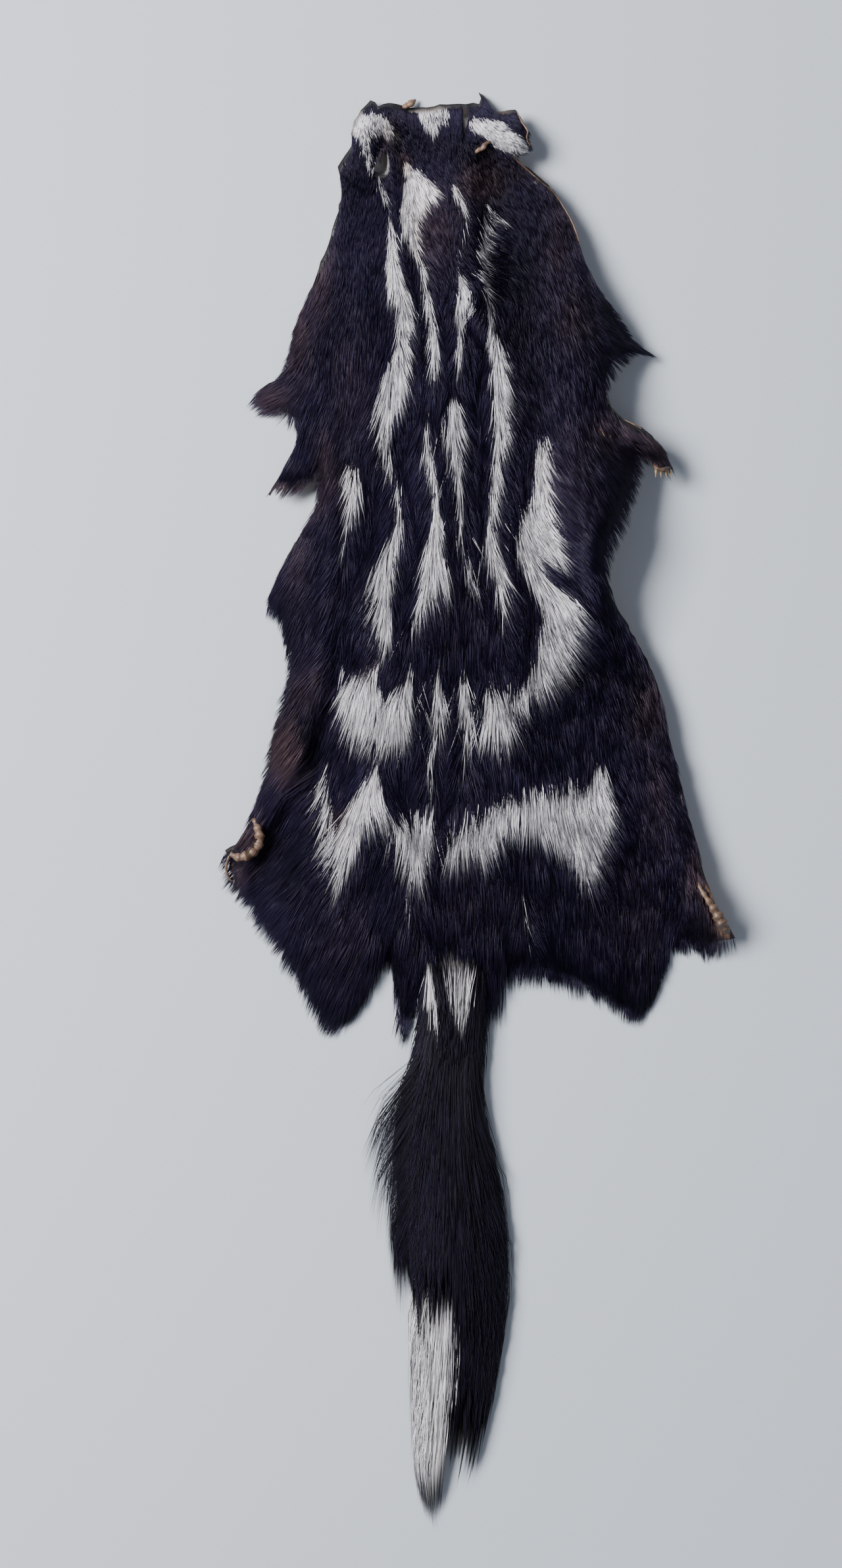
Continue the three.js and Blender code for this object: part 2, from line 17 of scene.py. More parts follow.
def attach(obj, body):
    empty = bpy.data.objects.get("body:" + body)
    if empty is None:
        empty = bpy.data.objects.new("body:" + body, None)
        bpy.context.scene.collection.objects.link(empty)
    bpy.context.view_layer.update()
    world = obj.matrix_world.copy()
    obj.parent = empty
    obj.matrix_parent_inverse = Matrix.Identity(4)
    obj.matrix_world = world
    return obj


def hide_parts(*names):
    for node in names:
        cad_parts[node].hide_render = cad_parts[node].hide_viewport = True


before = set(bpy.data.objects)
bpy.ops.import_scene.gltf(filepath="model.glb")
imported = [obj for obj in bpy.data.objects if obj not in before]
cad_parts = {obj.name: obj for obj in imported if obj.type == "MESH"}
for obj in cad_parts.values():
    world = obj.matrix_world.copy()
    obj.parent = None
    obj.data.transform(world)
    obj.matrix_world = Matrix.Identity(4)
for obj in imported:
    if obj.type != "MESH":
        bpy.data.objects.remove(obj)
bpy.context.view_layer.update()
print("nodes in the frame:", len(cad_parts))

# %% [markdown]
# ## Camera
# The camera hangs 0.8 m above the pelt and looks straight down. Its lens follows from the length of floor
# that the tall picture takes in.

# %% Camera
MM = 0.001
PICTURE_LENGTH = 603.3
CAMERA_DISTANCE = 800.0
SHARP_HEIGHT = 10.0
SENSOR = 36.0
PICTURE_CENTRE = np.array([-23.5, 10.0])

camera_data = bpy.data.cameras.new("camera")
camera_data.sensor_fit = "VERTICAL"
camera_data.sensor_height = SENSOR
camera_data.lens = SENSOR * CAMERA_DISTANCE / PICTURE_LENGTH
camera = bpy.data.objects.new("camera", camera_data)
camera.location = Vector((*PICTURE_CENTRE, SHARP_HEIGHT + CAMERA_DISTANCE)) * MM
bpy.context.collection.objects.link(camera)
bpy.context.scene.camera = camera
print("lens:", round(camera_data.lens, 1), "mm")

# %% [markdown]
# ## The plan's measure
# Every place on the pelt is given in millimetres from the picture's centre, x to the right and y towards the
# head. A place that stands higher is nearer to the camera and looks further out than it is, so the function
# that moves a place into the frame draws it in by that much.

# %% From the plan to the frame
def to_frame(plan, height):
    """Turns places on the plan and their heights, all in mm, into points of the frame in metres."""
    nearer = 1 - (height - SHARP_HEIGHT) / CAMERA_DISTANCE
    return np.concatenate((plan * nearer[..., None] + PICTURE_CENTRE, height[..., None]), axis=-1) * MM


# %% [markdown]
# ## Floor and light
# The floor is one pale plane. The main light is a wide soft panel at the left, about 50 degrees up, so the
# raised right side of the pelt throws a soft shadow. A pale world fills the dark side.

# %% One helper for material nodes
def hex_colour(code, alpha=1.0):
    """Turns an sRGB hex colour into the linear values that a shader takes."""
    channels = [int(code[i:i + 2], 16) / 255 for i in (1, 3, 5)]
    linear = [c / 12.92 if c <= 0.04045 else ((c + 0.055) / 1.055) ** 2.4 for c in channels]
    return (*linear, alpha)


def node(tree, kind, links=None, **settings):
    """Adds a node, sets its properties and sockets, and links sockets to the outputs given."""
    made = tree.nodes.new(kind)
    for name, value in settings.items():
        if hasattr(made, name):
            setattr(made, name, value)
        else:
            made.inputs[name].default_value = value
    for socket, source in (links or {}).items():
        tree.links.new(source, made.inputs[socket])
    return made


def new_material(name):
    """Starts a material with an empty node tree and its output."""
    material = bpy.data.materials.new(name)
    material.use_nodes = True
    material.node_tree.nodes.clear()
    output = material.node_tree.nodes.new("ShaderNodeOutputMaterial")
    return material, material.node_tree, output


# %% Floor
FLOOR_SIZE = 4.0
floor_mesh = bpy.data.meshes.new("floor")
grid = bmesh.new()
bmesh.ops.create_grid(grid, x_segments=1, y_segments=1, size=FLOOR_SIZE / 2)
grid.to_mesh(floor_mesh)
grid.free()
floor = bpy.data.objects.new("floor", floor_mesh)
bpy.context.collection.objects.link(floor)
floor_paint, tree, output = new_material("pale matt floor")
shader = node(tree, "ShaderNodeBsdfPrincipled", **{"Base Color": hex_colour("#b3b8bf"), "Roughness": 0.9})
tree.links.new(shader.outputs[0], output.inputs[0])
floor_mesh.materials.append(floor_paint)

# %% Lights
LIGHT_TARGET = Vector((*PICTURE_CENTRE, SHARP_HEIGHT)) * MM
MAIN_LIGHT = {"direction": (-0.66, 0.22, 0.72), "distance": 1.7, "size": 0.75, "watts": 86}
FILL_LIGHT = {"direction": (0.45, -0.35, 0.82), "distance": 2.2, "size": 1.6, "watts": 7}


def soft_light(name, direction, distance, size, watts):
    """A square light panel that faces the pelt from the given direction."""
    data = bpy.data.lights.new(name, "AREA")
    data.size = size
    data.energy = watts
    light = bpy.data.objects.new(name, data)
    way = Vector(direction).normalized()
    light.location = LIGHT_TARGET + way * distance
    light.rotation_euler = way.to_track_quat("Z", "Y").to_euler()
    bpy.context.collection.objects.link(light)


soft_light("main_light", **MAIN_LIGHT)
soft_light("fill_light", **FILL_LIGHT)
world = bpy.data.worlds.new("studio")
world.use_nodes = True
world.node_tree.nodes["Background"].inputs["Color"].default_value = hex_colour("#cfdcf5")
world.node_tree.nodes["Background"].inputs["Strength"].default_value = 0.27
bpy.context.scene.world = world

# %% [markdown]
# ## The skin's edge
# The edge runs clockwise from the left corner of the brow, in stretches that meet at the corners of the
# cheeks, legs and tail. Each stretch is a smooth curve through a few places, so the corners stay sharp.

# %% Smooth lines and distances
def smooth_line(points, step):
    """Even places about `step` apart along a smooth curve through the given ones."""
    p = np.array(points, float)
    p = np.vstack([p[:1], p, p[-1:]])
    t = np.linspace(0, 1, 12, endpoint=False)[:, None]
    stretches = []
    for a, b, c, d in zip(p, p[1:], p[2:], p[3:]):
        stretches.append(0.5 * (2 * b + (c - a) * t + (2 * a - 5 * b + 4 * c - d) * t**2
                                + (3 * b - a - 3 * c + d) * t**3))
    dense = np.vstack([*stretches, p[-1:]])
    run = np.concatenate([[0], np.cumsum(np.linalg.norm(np.diff(dense, axis=0), axis=1))])
    even = np.linspace(0, run[-1], max(2, round(run[-1] / step) + 1))
    return np.column_stack([np.interp(even, run, dense[:, k]) for k in range(dense.shape[1])])


def to_segments(places, starts, ends, extras=None):
    """Least distance from each place to a set of line pieces, with the nearest piece's extra values."""
    run = ends - starts
    squared = np.maximum((run**2).sum(1), 1e-9)
    nearest = np.full(len(places), np.inf)
    which = np.zeros(len(places), int)
    share = np.zeros(len(places))
    for k in range(len(starts)):
        t = np.clip((places - starts[k]) @ run[k] / squared[k], 0, 1)
        gap = np.linalg.norm(places - starts[k] - t[:, None] * run[k], axis=1)
        if extras is not None:
            gap = gap - (extras[k, 0] * (1 - t) + extras[k, 1] * t)
        closer = gap < nearest
        nearest[closer] = gap[closer]
        which[closer] = k
        share[closer] = t[closer]
    return nearest, which, share


def inside(places, ring):
    """Tells which places lie inside a closed ring."""
    found = np.zeros(len(places), bool)
    for (ax, ay), (bx, by) in zip(ring, np.roll(ring, -1, axis=0)):
        if ay == by:
            continue
        spans = (ay > places[:, 1]) != (by > places[:, 1])
        found ^= spans & (places[:, 0] < (bx - ax) * (places[:, 1] - ay) / (by - ay) + ax)
    return found


# %% The edge in plan
SKIN_EDGE = {
    "left brow": [(-26.8, 250), (-26, 254.5), (-23, 259.3), (-19.4, 263)],
    "brow notch": [(-19.4, 263), (-17.6, 262.3), (-16.9, 260.5)],
    "brow": [(-16.9, 260.5), (-15, 261.8), (-9.5, 261.7), (-3.4, 260), (5, 260.8), (13, 261.8), (22.3, 262)],
    "brow scrap": [(22.3, 262), (22.8, 264), (22.2, 266)],
    "beside the scrap": [(22.2, 266), (24.6, 264.2), (27, 260.2)],
    "right brow": [(27, 260.2), (29, 258.9), (36.6, 259.6)],
    "right cheek": [(36.6, 259.6), (39, 254.6), (41.3, 251.4), (40.8, 248.5), (42.3, 245)],
    "under the right cheek": [(42.3, 245), (39.5, 242.6), (36.8, 242), (33.5, 243)],
    "right neck": [(33.5, 243), (50, 229), (58, 216), (64, 199), (75, 180), (81, 171), (88.5, 165.5)],
    "under the right breast": [(88.5, 165.5), (81, 166.6), (74, 162.6), (69.6, 152)],
    "right foreleg": [(69.6, 152), (76, 142), (84.4, 137.2), (90, 132.8), (94.4, 126.3), (96, 121.3)],
    "right paw": [(96, 121.3), (93, 120.3), (89.8, 121.2), (89.2, 125), (86, 126.2), (82.6, 126.8)],
    "right flank": [(82.6, 126.8), (82, 119), (78.6, 109), (71.6, 92), (70.4, 78), (79, 62), (90, 41), (94.5, 22), (99, 1),
                    (105, -21), (112, -43), (121, -59.5)],
    "right hind foot": [(121, -59.5), (117, -60), (113.6, -60.2), (110.6, -62.6), (104.6, -61), (98.6, -59.6)],
    "right thigh": [(98.6, -59.6), (93.6, -65), (92, -73), (88.4, -81.6), (83.6, -86.6), (76, -82.4), (66, -76),
                    (55, -71.6), (40, -69), (27, -69)],
    "tail root": [(27, -69), (23, -78), (20, -92), (7, -92), (2, -80), (-1.5, -72)],
    "belly strip": [(-1.5, -72), (-3, -89.4), (-6, -90), (-8.4, -83), (-12.5, -62)],
    "left thigh": [(-12.5, -62), (-16.4, -68), (-21.6, -79.6), (-27, -87.4), (-33, -91), (-38, -84.6), (-44.4, -74),
                   (-51.8, -62.4), (-61.2, -47.6), (-70.6, -37)],
    "left hind foot": [(-70.6, -37), (-73.4, -33), (-73.8, -29), (-75, -25.5)],
    "left flank": [(-75.5, -25.5), (-70.7, -22.6), (-66, -16.6), (-61, -5), (-57.4, 8), (-55.6, 20), (-51.4, 32),
                   (-48.8, 46), (-51.6, 57), (-53.4, 65.6), (-58.6, 69.6)],
    "left side": [(-58.6, 69.6), (-55.4, 78), (-50, 90), (-43.6, 100), (-39.6, 107), (-38, 114), (-40, 121.4)],
    "left paw": [(-40, 121.4), (-43.4, 116), (-50.6, 114.8), (-55.4, 115), (-58.8, 111.4)],
    "left foreleg": [(-58.8, 111.4), (-52.6, 120.6), (-49, 129), (-46.6, 137.2), (-51.4, 143.2), (-57.6, 144)],
    "left breast": [(-57.6, 144), (-60.4, 146.2), (-63.6, 149.2)],
    "left neck": [(-63.6, 149.2), (-59.4, 154), (-52, 158.6), (-47.5, 177), (-38, 202), (-31, 225), (-31.8, 237.4)],
    "left cheek": [(-31.8, 237.4), (-29.6, 241.6), (-26.9, 245.2), (-26.8, 250)],
}
FRINGE = {"left brow": 0.5, "brow notch": 0.2, "brow": 0.4, "brow scrap": 0.2, "beside the scrap": 0.2,
          "right brow": 0.1, "right cheek": 0.2, "under the right cheek": 0.6, "right neck": -0.3,
          "under the right breast": 0.8, "right foreleg": 0.6, "right paw": 0.6, "right flank": 1.0,
          "right hind foot": 0.8, "right thigh": 3.0, "tail root": 12.0, "belly strip": 1.0,
          "left thigh": 4.2, "left hind foot": 0.4, "left flank": 2.6, "left side": 1.4, "left paw": -0.4, "left foreleg": 0.8,
          "left breast": 1.8, "left neck": 1.3, "left cheek": 1.2}
EYE_SLIT = [(-14.2, 246.6), (-13, 243), (-12.9, 238.5), (-13.8, 235.2), (-16, 234.9), (-18.5, 235.7),
            (-17.8, 239), (-16.2, 242.6), (-14.2, 246.6)]
EYE_FRINGE = 0.1
EDGE_STEP = 2.5

chance = np.random.default_rng(5339)
stretches = {name: smooth_line(stretch, EDGE_STEP)[:-1] for name, stretch in SKIN_EDGE.items()}
edge = np.vstack(list(stretches.values()))
fringe = np.concatenate([np.full(len(line), FRINGE[name]) for name, line in stretches.items()])
eye_edge = smooth_line(EYE_SLIT, 1.2)[:-1]
print("places along the edge:", len(edge))


def on_skin(places):
    """Tells which places of the plan are on the skin."""
    return inside(places, edge) & ~inside(places, eye_edge)


def to_edge(places):
    """Distance from each place to the skin's edge."""
    return to_segments(places, edge, np.roll(edge, -1, axis=0))[0]


def past_fringe(places):
    """How far each place lies beyond the fringe that hair may make past the skin's edge or into the eye."""
    gap, which, _ = to_segments(places, edge, np.roll(edge, -1, axis=0))
    outer = np.where(inside(places, edge), -gap, gap) - fringe[which]
    gap = to_segments(places, eye_edge, np.roll(eye_edge, -1, axis=0))[0]
    eye = np.where(inside(places, eye_edge), gap, -gap) - EYE_FRINGE
    return np.maximum(outer, eye)


# %% [markdown]
# ## Measures worked out once
# Hundreds of thousands of hairs ask for the same few measures. Each measure is worked out once on a fine grid
# over the plan, and read between the grid's places after that, which is a hundred times quicker.

# %% A measure on a grid
FIELD_STEP = 0.8
FIELD_MARGIN = 24.0
low, high = edge.min(0), edge.max(0)
field_low = low - FIELD_MARGIN
field_size = np.ceil((high - low + 2 * FIELD_MARGIN) / FIELD_STEP).astype(int)


def on_grid(measure):
    """A quick form of a measure of places, read from its values on a fine grid."""
    grid = np.stack(np.meshgrid(*[np.arange(n) for n in field_size], indexing="ij"), axis=-1).reshape(-1, 2)
    values = measure(field_low + grid * FIELD_STEP).reshape(field_size)

    def quick(places):
        """Reads the measure between the four nearest places of the grid."""
        spot = np.clip((places - field_low) / FIELD_STEP, 0, field_size - 1.001)
        i, j = spot.astype(int).T
        u, v = (spot - np.floor(spot)).T
        near = values[i, j] * (1 - u) + values[i + 1, j] * u
        far = values[i, j + 1] * (1 - u) + values[i + 1, j + 1] * u
        return near * (1 - v) + far * v

    return quick


past_fringe = on_grid(past_fringe)
to_edge = on_grid(to_edge)
print("places of the grid:", field_size.prod())


# %% [markdown]
# ## Relief
# The skin dried in waves. Each wave is a crest line with its height off the floor, and it falls away on both
# sides like a bell curve, steeper on one side where a fold is. Where little is left of them, the skin lies flat.

# %% Relief of the skin
RIDGES = [
    ([(16, 243, 9), (18, 215, 12), (19, 190, 11), (21, 168, 5)], 14, 8),
    ([(-10, 242, 3), (-9, 215, 3), (-7, 190, 4), (-4, 170, 3)], 9, 5),
    ([(44, 222, 10), (53, 190, 19), (60, 160, 22), (63, 130, 24), (67, 96, 27), (70, 74, 20), (80, 52, 10),
      (92, 20, 9), (102, -28, 11)], 15, 24),
    ([(112, -44, 10), (119, -57, 8)], 10, 14),
    ([(-23, 200, 5), (-25, 130, 8), (-25, 60, 6)], 9, 12),
    ([(-42, 190, 3), (-39, 150, 5), (-37, 120, 5.5), (-36, 90, 5.5), (-37.5, 60, 5.5), (-40, 34, 6.5),
      (-47, 12, 7.5), (-54, -3, 7.5), (-61, -15, 7), (-68, -27, 9)], 16, 4.5),
    ([(4, 150, 5), (6, 100, 6), (9, 50, 3)], 12, 12),
    ([(-18, 12, 3), (-22, -56, 5)], 12, 12),
    ([(28, 2, 5), (33, -56, 5)], 14, 14),
    ([(29, 252, 12), (36, 249, 14)], 12, 12),
    ([(-21, 254, 10), (-21, 240, 6)], 9, 9),
    ([(86, 136, 8), (94, 124, 8)], 9, 9),
    ([(-50, 120, 4), (-57, 111, 6)], 8, 8),
]
FLOOR_SINK = 1.5
SKIN_THICKNESS = 1.3


def under(places):
    """Height of the skin's underside above the floor."""
    rise = np.zeros(len(places))
    for crest, left, right in RIDGES:
        line = np.array(crest, float)
        gap, which, t = to_segments(places, line[:-1, :2], line[1:, :2])
        start = line[which]
        end = line[which + 1]
        at = start + (end - start) * t[:, None]
        reach = np.where(places[:, 0] < at[:, 0], left, right)
        rise += at[:, 2] * np.exp(-((gap / reach) ** 2))
    return np.maximum(0, rise - FLOOR_SINK)


under = on_grid(under)


# %% [markdown]
# ## The sheet of skin
# A sheet with an outline like this is best triangulated by Blender's own Delaunay function from the edge and
# from scattered places inside it. A solidify operator then gives the flat sheet its thickness of dried skin.

# %% The sheet
SHEET_STEP = 3.2
columns, rows = np.ceil((high - low) / SHEET_STEP).astype(int)
lattice = np.stack(np.meshgrid(np.arange(columns), np.arange(rows)), axis=-1).reshape(-1, 2)
lattice = low + (lattice + 0.5 + chance.uniform(-0.28, 0.28, lattice.shape)) * SHEET_STEP
keep = on_skin(lattice) & (to_edge(lattice) > 0.45 * SHEET_STEP)
eye_gap = to_segments(lattice, eye_edge, np.roll(eye_edge, -1, axis=0))[0]
keep &= eye_gap > 0.3 * SHEET_STEP
ragged = edge + chance.normal(0, 0.22, edge.shape)
flat = np.vstack([ragged, eye_edge, lattice[keep]])
rims = [(k, (k + 1) % len(edge)) for k in range(len(edge))]
rims += [(len(edge) + k, len(edge) + (k + 1) % len(eye_edge)) for k in range(len(eye_edge))]
spots, _, triangles, *_ = geometry.delaunay_2d_cdt([Vector(v) for v in flat], rims, [], 0, 1e-5)
spots = np.array([tuple(v) for v in spots])
middles = spots[np.array([list(t) for t in triangles])].mean(axis=1)
wanted = inside(middles, ragged) & ~inside(middles, eye_edge)
triangles = [t for t, good in zip(triangles, wanted) if good]
print("triangles in the sheet:", len(triangles))

# %% The sheet's thickness
CREASE = 0.25


def creases(places):
    """Fine puckers of the dried skin, in mm."""
    x, y = places.T
    return CREASE * (np.sin(x * 0.55 + 2.1 * np.sin(y * 0.11)) + np.sin(y * 0.38 + 1.7 * np.sin(x * 0.17)))


def skin_top(places):
    """Height of the skin's fur side."""
    return under(places) + SKIN_THICKNESS + creases(places)


sheet = bmesh.new()
corners = [sheet.verts.new(v) for v in to_frame(spots, skin_top(spots))]
for triangle in triangles:
    sheet.faces.new([corners[k] for k in triangle])
for loose in [v for v in sheet.verts if not v.link_faces]:
    sheet.verts.remove(loose)
bmesh.ops.recalc_face_normals(sheet, faces=sheet.faces)
if sum(face.normal.z for face in sheet.faces) < 0:
    bmesh.ops.reverse_faces(sheet, faces=sheet.faces)
bmesh.ops.solidify(sheet, geom=sheet.faces[:], thickness=SKIN_THICKNESS * MM)
for corner in sheet.verts:
    corner.co.z = max(corner.co.z, 0.0002)
skin_mesh = bpy.data.meshes.new("skin")
sheet.to_mesh(skin_mesh)
sheet.free()
skin = bpy.data.objects.new("skin", skin_mesh)
bpy.context.collection.objects.link(skin)
print("faces of the skin:", len(skin_mesh.polygons))

# %% [markdown]
# ## The tail's skin
# The tail was drawn off whole, so its skin is a thin tube that tapers to a point. It is lofted from rings
# with bmesh circles bridged to each other, and joined to the sheet under the long hair.

# %% The tail's tube
TAIL = {
    "y": np.array([-60, -78, -96, -126, -158, -188, -212.0]),
    "x": np.array([13, 12.5, 11.5, 11, 12.5, 13, 12]),
    "z": np.array([2.2, 4, 6, 6.5, 6, 5, 4]),
    "half width": np.array([11, 9.5, 8, 6.5, 5, 4, 2.6]),
    "half height": np.array([1.2, 2.8, 4.4, 4.5, 4, 3.4, 2.4]),
}


def tail_at(y, key):
    """A measure of the tail's tube at the given place along it."""
    return np.interp(-np.asarray(y), -TAIL["y"], TAIL[key])


tube = bmesh.new()
rings = []
for y in np.linspace(-62, -214, 30):
    ring = bmesh.ops.create_circle(tube, segments=14, radius=1.0)["verts"]
    end_taper = min(1.0, math.sqrt(max(0.02, (y + 216) / 12)))
    for vert in ring:
        x = float(tail_at(y, "x") + vert.co.x * tail_at(y, "half width") * end_taper)
        z = float(tail_at(y, "z") + vert.co.y * tail_at(y, "half height") * end_taper)
        vert.co = to_frame(np.array([[x, y]]), np.array([z]))[0]
    rings.append(ring)
for near, far in zip(rings, rings[1:]):
    edges = [e for e in tube.edges if (e.verts[0] in near and e.verts[1] in near)
             or (e.verts[0] in far and e.verts[1] in far)]
    bmesh.ops.bridge_loops(tube, edges=edges)
bmesh.ops.contextual_create(tube, geom=rings[0])
bmesh.ops.contextual_create(tube, geom=rings[-1])
bmesh.ops.recalc_face_normals(tube, faces=tube.faces)
tail_mesh = bpy.data.meshes.new("tail_skin")
tube.to_mesh(tail_mesh)
tube.free()
tail_skin = bpy.data.objects.new("tail_skin", tail_mesh)
bpy.context.collection.objects.link(tail_skin)
print("faces of the tail's skin:", len(tail_mesh.polygons))

# %% Join the tail to the sheet
join = skin.modifiers.new("tail", "BOOLEAN")
join.operation = "UNION"
join.solver = "EXACT"
join.object = tail_skin
bpy.context.view_layer.update()
whole = bpy.data.meshes.new_from_object(skin.evaluated_get(bpy.context.evaluated_depsgraph_get()))
skin.modifiers.clear()
skin.data = whole
whole.name = "skin"
bpy.data.objects.remove(tail_skin)
print("faces of the joined skin:", len(whole.polygons))

# %% [markdown]
# ## White markings
# A spotted skunk is black with broken white stripes. The narrow ones are drawn as strokes, each a line of
# places with the stroke's half width, and the broad ones as outlines. They are where the white shows, so a
# hair is white when the middle of its visible length falls in one.

# %% Stripes
STRIPES = [
    [(-16.4, 235, 1.9), (-16.4, 232, 2.2), (-15.6, 229, 1.5), (-13.8, 225, 1), (-11.8, 220.5, 0.7),
     (-12, 215.5, 0.5)],
    [(-12, 215, 0.7), (-11.2, 210, 2.1), (-10.5, 205, 2.9), (-10.5, 198, 2.9), (-9.8, 192, 4.1), (-8, 187, 4.6),
     (-5.6, 181, 4), (-5.7, 174, 4.1), (-6.4, 168, 3.9), (-7.2, 161, 4.4), (-10.2, 153, 6.4),
     (-12.1, 146, 6.2), (-13.6, 139, 5.3), (-14.5, 132, 3.3), (-15, 126, 1.9), (-12.6, 121, 1.7),
     (-10.3, 115, 1.2), (-9, 108, 1.9), (-8.6, 100, 2), (-8.6, 95, 2.7), (-11.4, 88, 4.3), (-14, 80, 5),
     (-14.7, 75, 5.4), (-15.3, 68, 5.1), (-15.6, 60, 4.8), (-14.6, 54, 3.6), (-13.8, 48, 1.8)],
    [(-28.6, 121.5, 0.3), (-28.4, 118, 0.9), (-26.6, 114.2, 3), (-26.4, 109, 3.7), (-26.8, 104, 3.1),
     (-28, 101, 1.8), (-29.2, 95, 1), (-30, 89, 0.8), (-31, 82, 0.6), (-32, 75, 0.4)],
    [(-34.4, 54, 0.5), (-34.2, 46, 1), (-33.6, 38, 1.1)],
    [(0.8, 200, 1.8), (1.9, 190, 1.8), (3.1, 181, 1.9), (4.1, 174, 2.3), (4.9, 167, 3.1), (5.1, 160, 3.1),
     (5, 155, 1.6), (4.8, 151, 0.4)],
    [(3, 139, 0.3), (2.4, 134, 1.5), (2, 129, 2.5), (2.3, 123, 2.8), (3.8, 117, 3), (5, 111, 2.7),
     (5.9, 104, 2.4), (6.2, 97, 2.9), (5.2, 91, 4.2), (4.6, 84, 5.5), (4.1, 77, 6.2), (3.4, 71, 5),
     (0.2, 66, 3.6), (-2.4, 61, 2.1), (-3.4, 54, 0.7)],
    [(8.1, 108, 0.4), (8.8, 100, 0.8), (8.8, 95, 0.8)],
    [(8.6, 82, 2.4), (10.2, 77, 2.2), (11, 71.5, 1.2)],
    [(13.5, 228.8, 1.1), (14.9, 225, 1.9), (16.9, 220, 1.9), (18.4, 215.5, 1.3), (17.6, 210, 0.6),
     (15.4, 206, 0.5), (14.3, 201, 0.3), (16.2, 195, 1.1), (17, 191, 2.9), (16.8, 187, 3), (15.2, 183, 2.7),
     (14.8, 179, 2.4), (14.8, 174, 2.3), (15, 168, 2.3), (14.6, 162, 2.5), (14.4, 156.5, 1.2)],
    [(12.2, 149, 0.5), (12.8, 145.5, 1.9), (13.5, 140, 4), (13.7, 132, 4.9), (13.7, 126, 4.2),
     (14.6, 115, 2.3), (15.2, 105, 2.2), (15.8, 97, 1.8), (15.8, 91, 1.2), (15.6, 87, 0.4)],
    [(16.4, 137, 1.8), (18, 132.5, 0.8)],
    [(17.6, 84, 1), (19.2, 78, 2.2), (21, 71.5, 2.2), (23.4, 64.5, 1)],
    [(26.7, 221, 0.7), (27, 216.5, 2.8), (27.2, 211, 3.2), (26.2, 204, 3), (26.2, 197, 2.6), (26.4, 190, 1.8),
     (26.2, 184, 2), (26.4, 179, 2.3), (26.8, 174, 1.9), (28.2, 170, 2.3), (29.8, 165, 3.4),
     (30.8, 160, 4.4), (31, 154, 4.8), (31.3, 148, 4.9), (31.1, 141, 4.4), (31.2, 135, 4.3),
     (31.3, 129, 4.4), (29.9, 124, 3.2), (29.1, 118, 2.6), (29.2, 111, 3.1), (29, 104, 2.7),
     (28, 97, 2.9), (27, 91, 3.9), (27.8, 86, 4.4), (29.8, 80, 4), (32, 75, 4.2), (32.4, 70, 3),
     (32, 65, 2.2), (31.8, 59, 1.4), (32.4, 52, 0.6)],
    [(29, 218, 1.4), (34, 214.6, 0.8)],
    [(31.4, 118, 1), (32.2, 114, 1.3), (31.6, 109, 0.6)],
    [(6.2, 38.4, 1.5), (6.7, 33, 3), (6.9, 28, 3.8), (6.1, 20, 3.6), (4.9, 13, 2.4), (4.2, 7, 1.9),
     (3.6, 0, 1.4), (3.4, -7, 0.5)],
    [(16.3, 36.6, 2.4), (16.9, 30, 3), (17.6, 22, 2.3), (17.6, 14, 2.1), (16.8, 6, 1.8), (15.6, -2, 1.4),
     (14.4, -9, 0.7)],
    [(-39.2, -0.5, 1.4), (-38.8, -6, 3.6), (-38, -12, 3.6), (-37.8, -18, 2.6), (-37.6, -24, 1.6)],
    [(-18.9, 16, 0.4), (-18.6, 11, 0.9), (-18.4, 5, 1.3)],
    [(-6, -47, 0.3), (-4.6, -53, 1.1), (-2, -59, 0.6), (0.6, -66, 0.3)],
    [(40, -47, 0.4), (40.4, -53, 1.6), (41, -59, 1.6), (42, -65, 0.8), (44, -71, 0.3)],
    [(1.2, -77, 0.5), (2.2, -81, 2), (3.2, -84, 2.4), (4.4, -89, 2), (6, -95, 0.6)],
    [(15.6, -78, 3.2), (14.9, -81, 4.6), (14.8, -84, 3.8), (15.4, -90, 2.4), (16, -96, 0.6)],
]

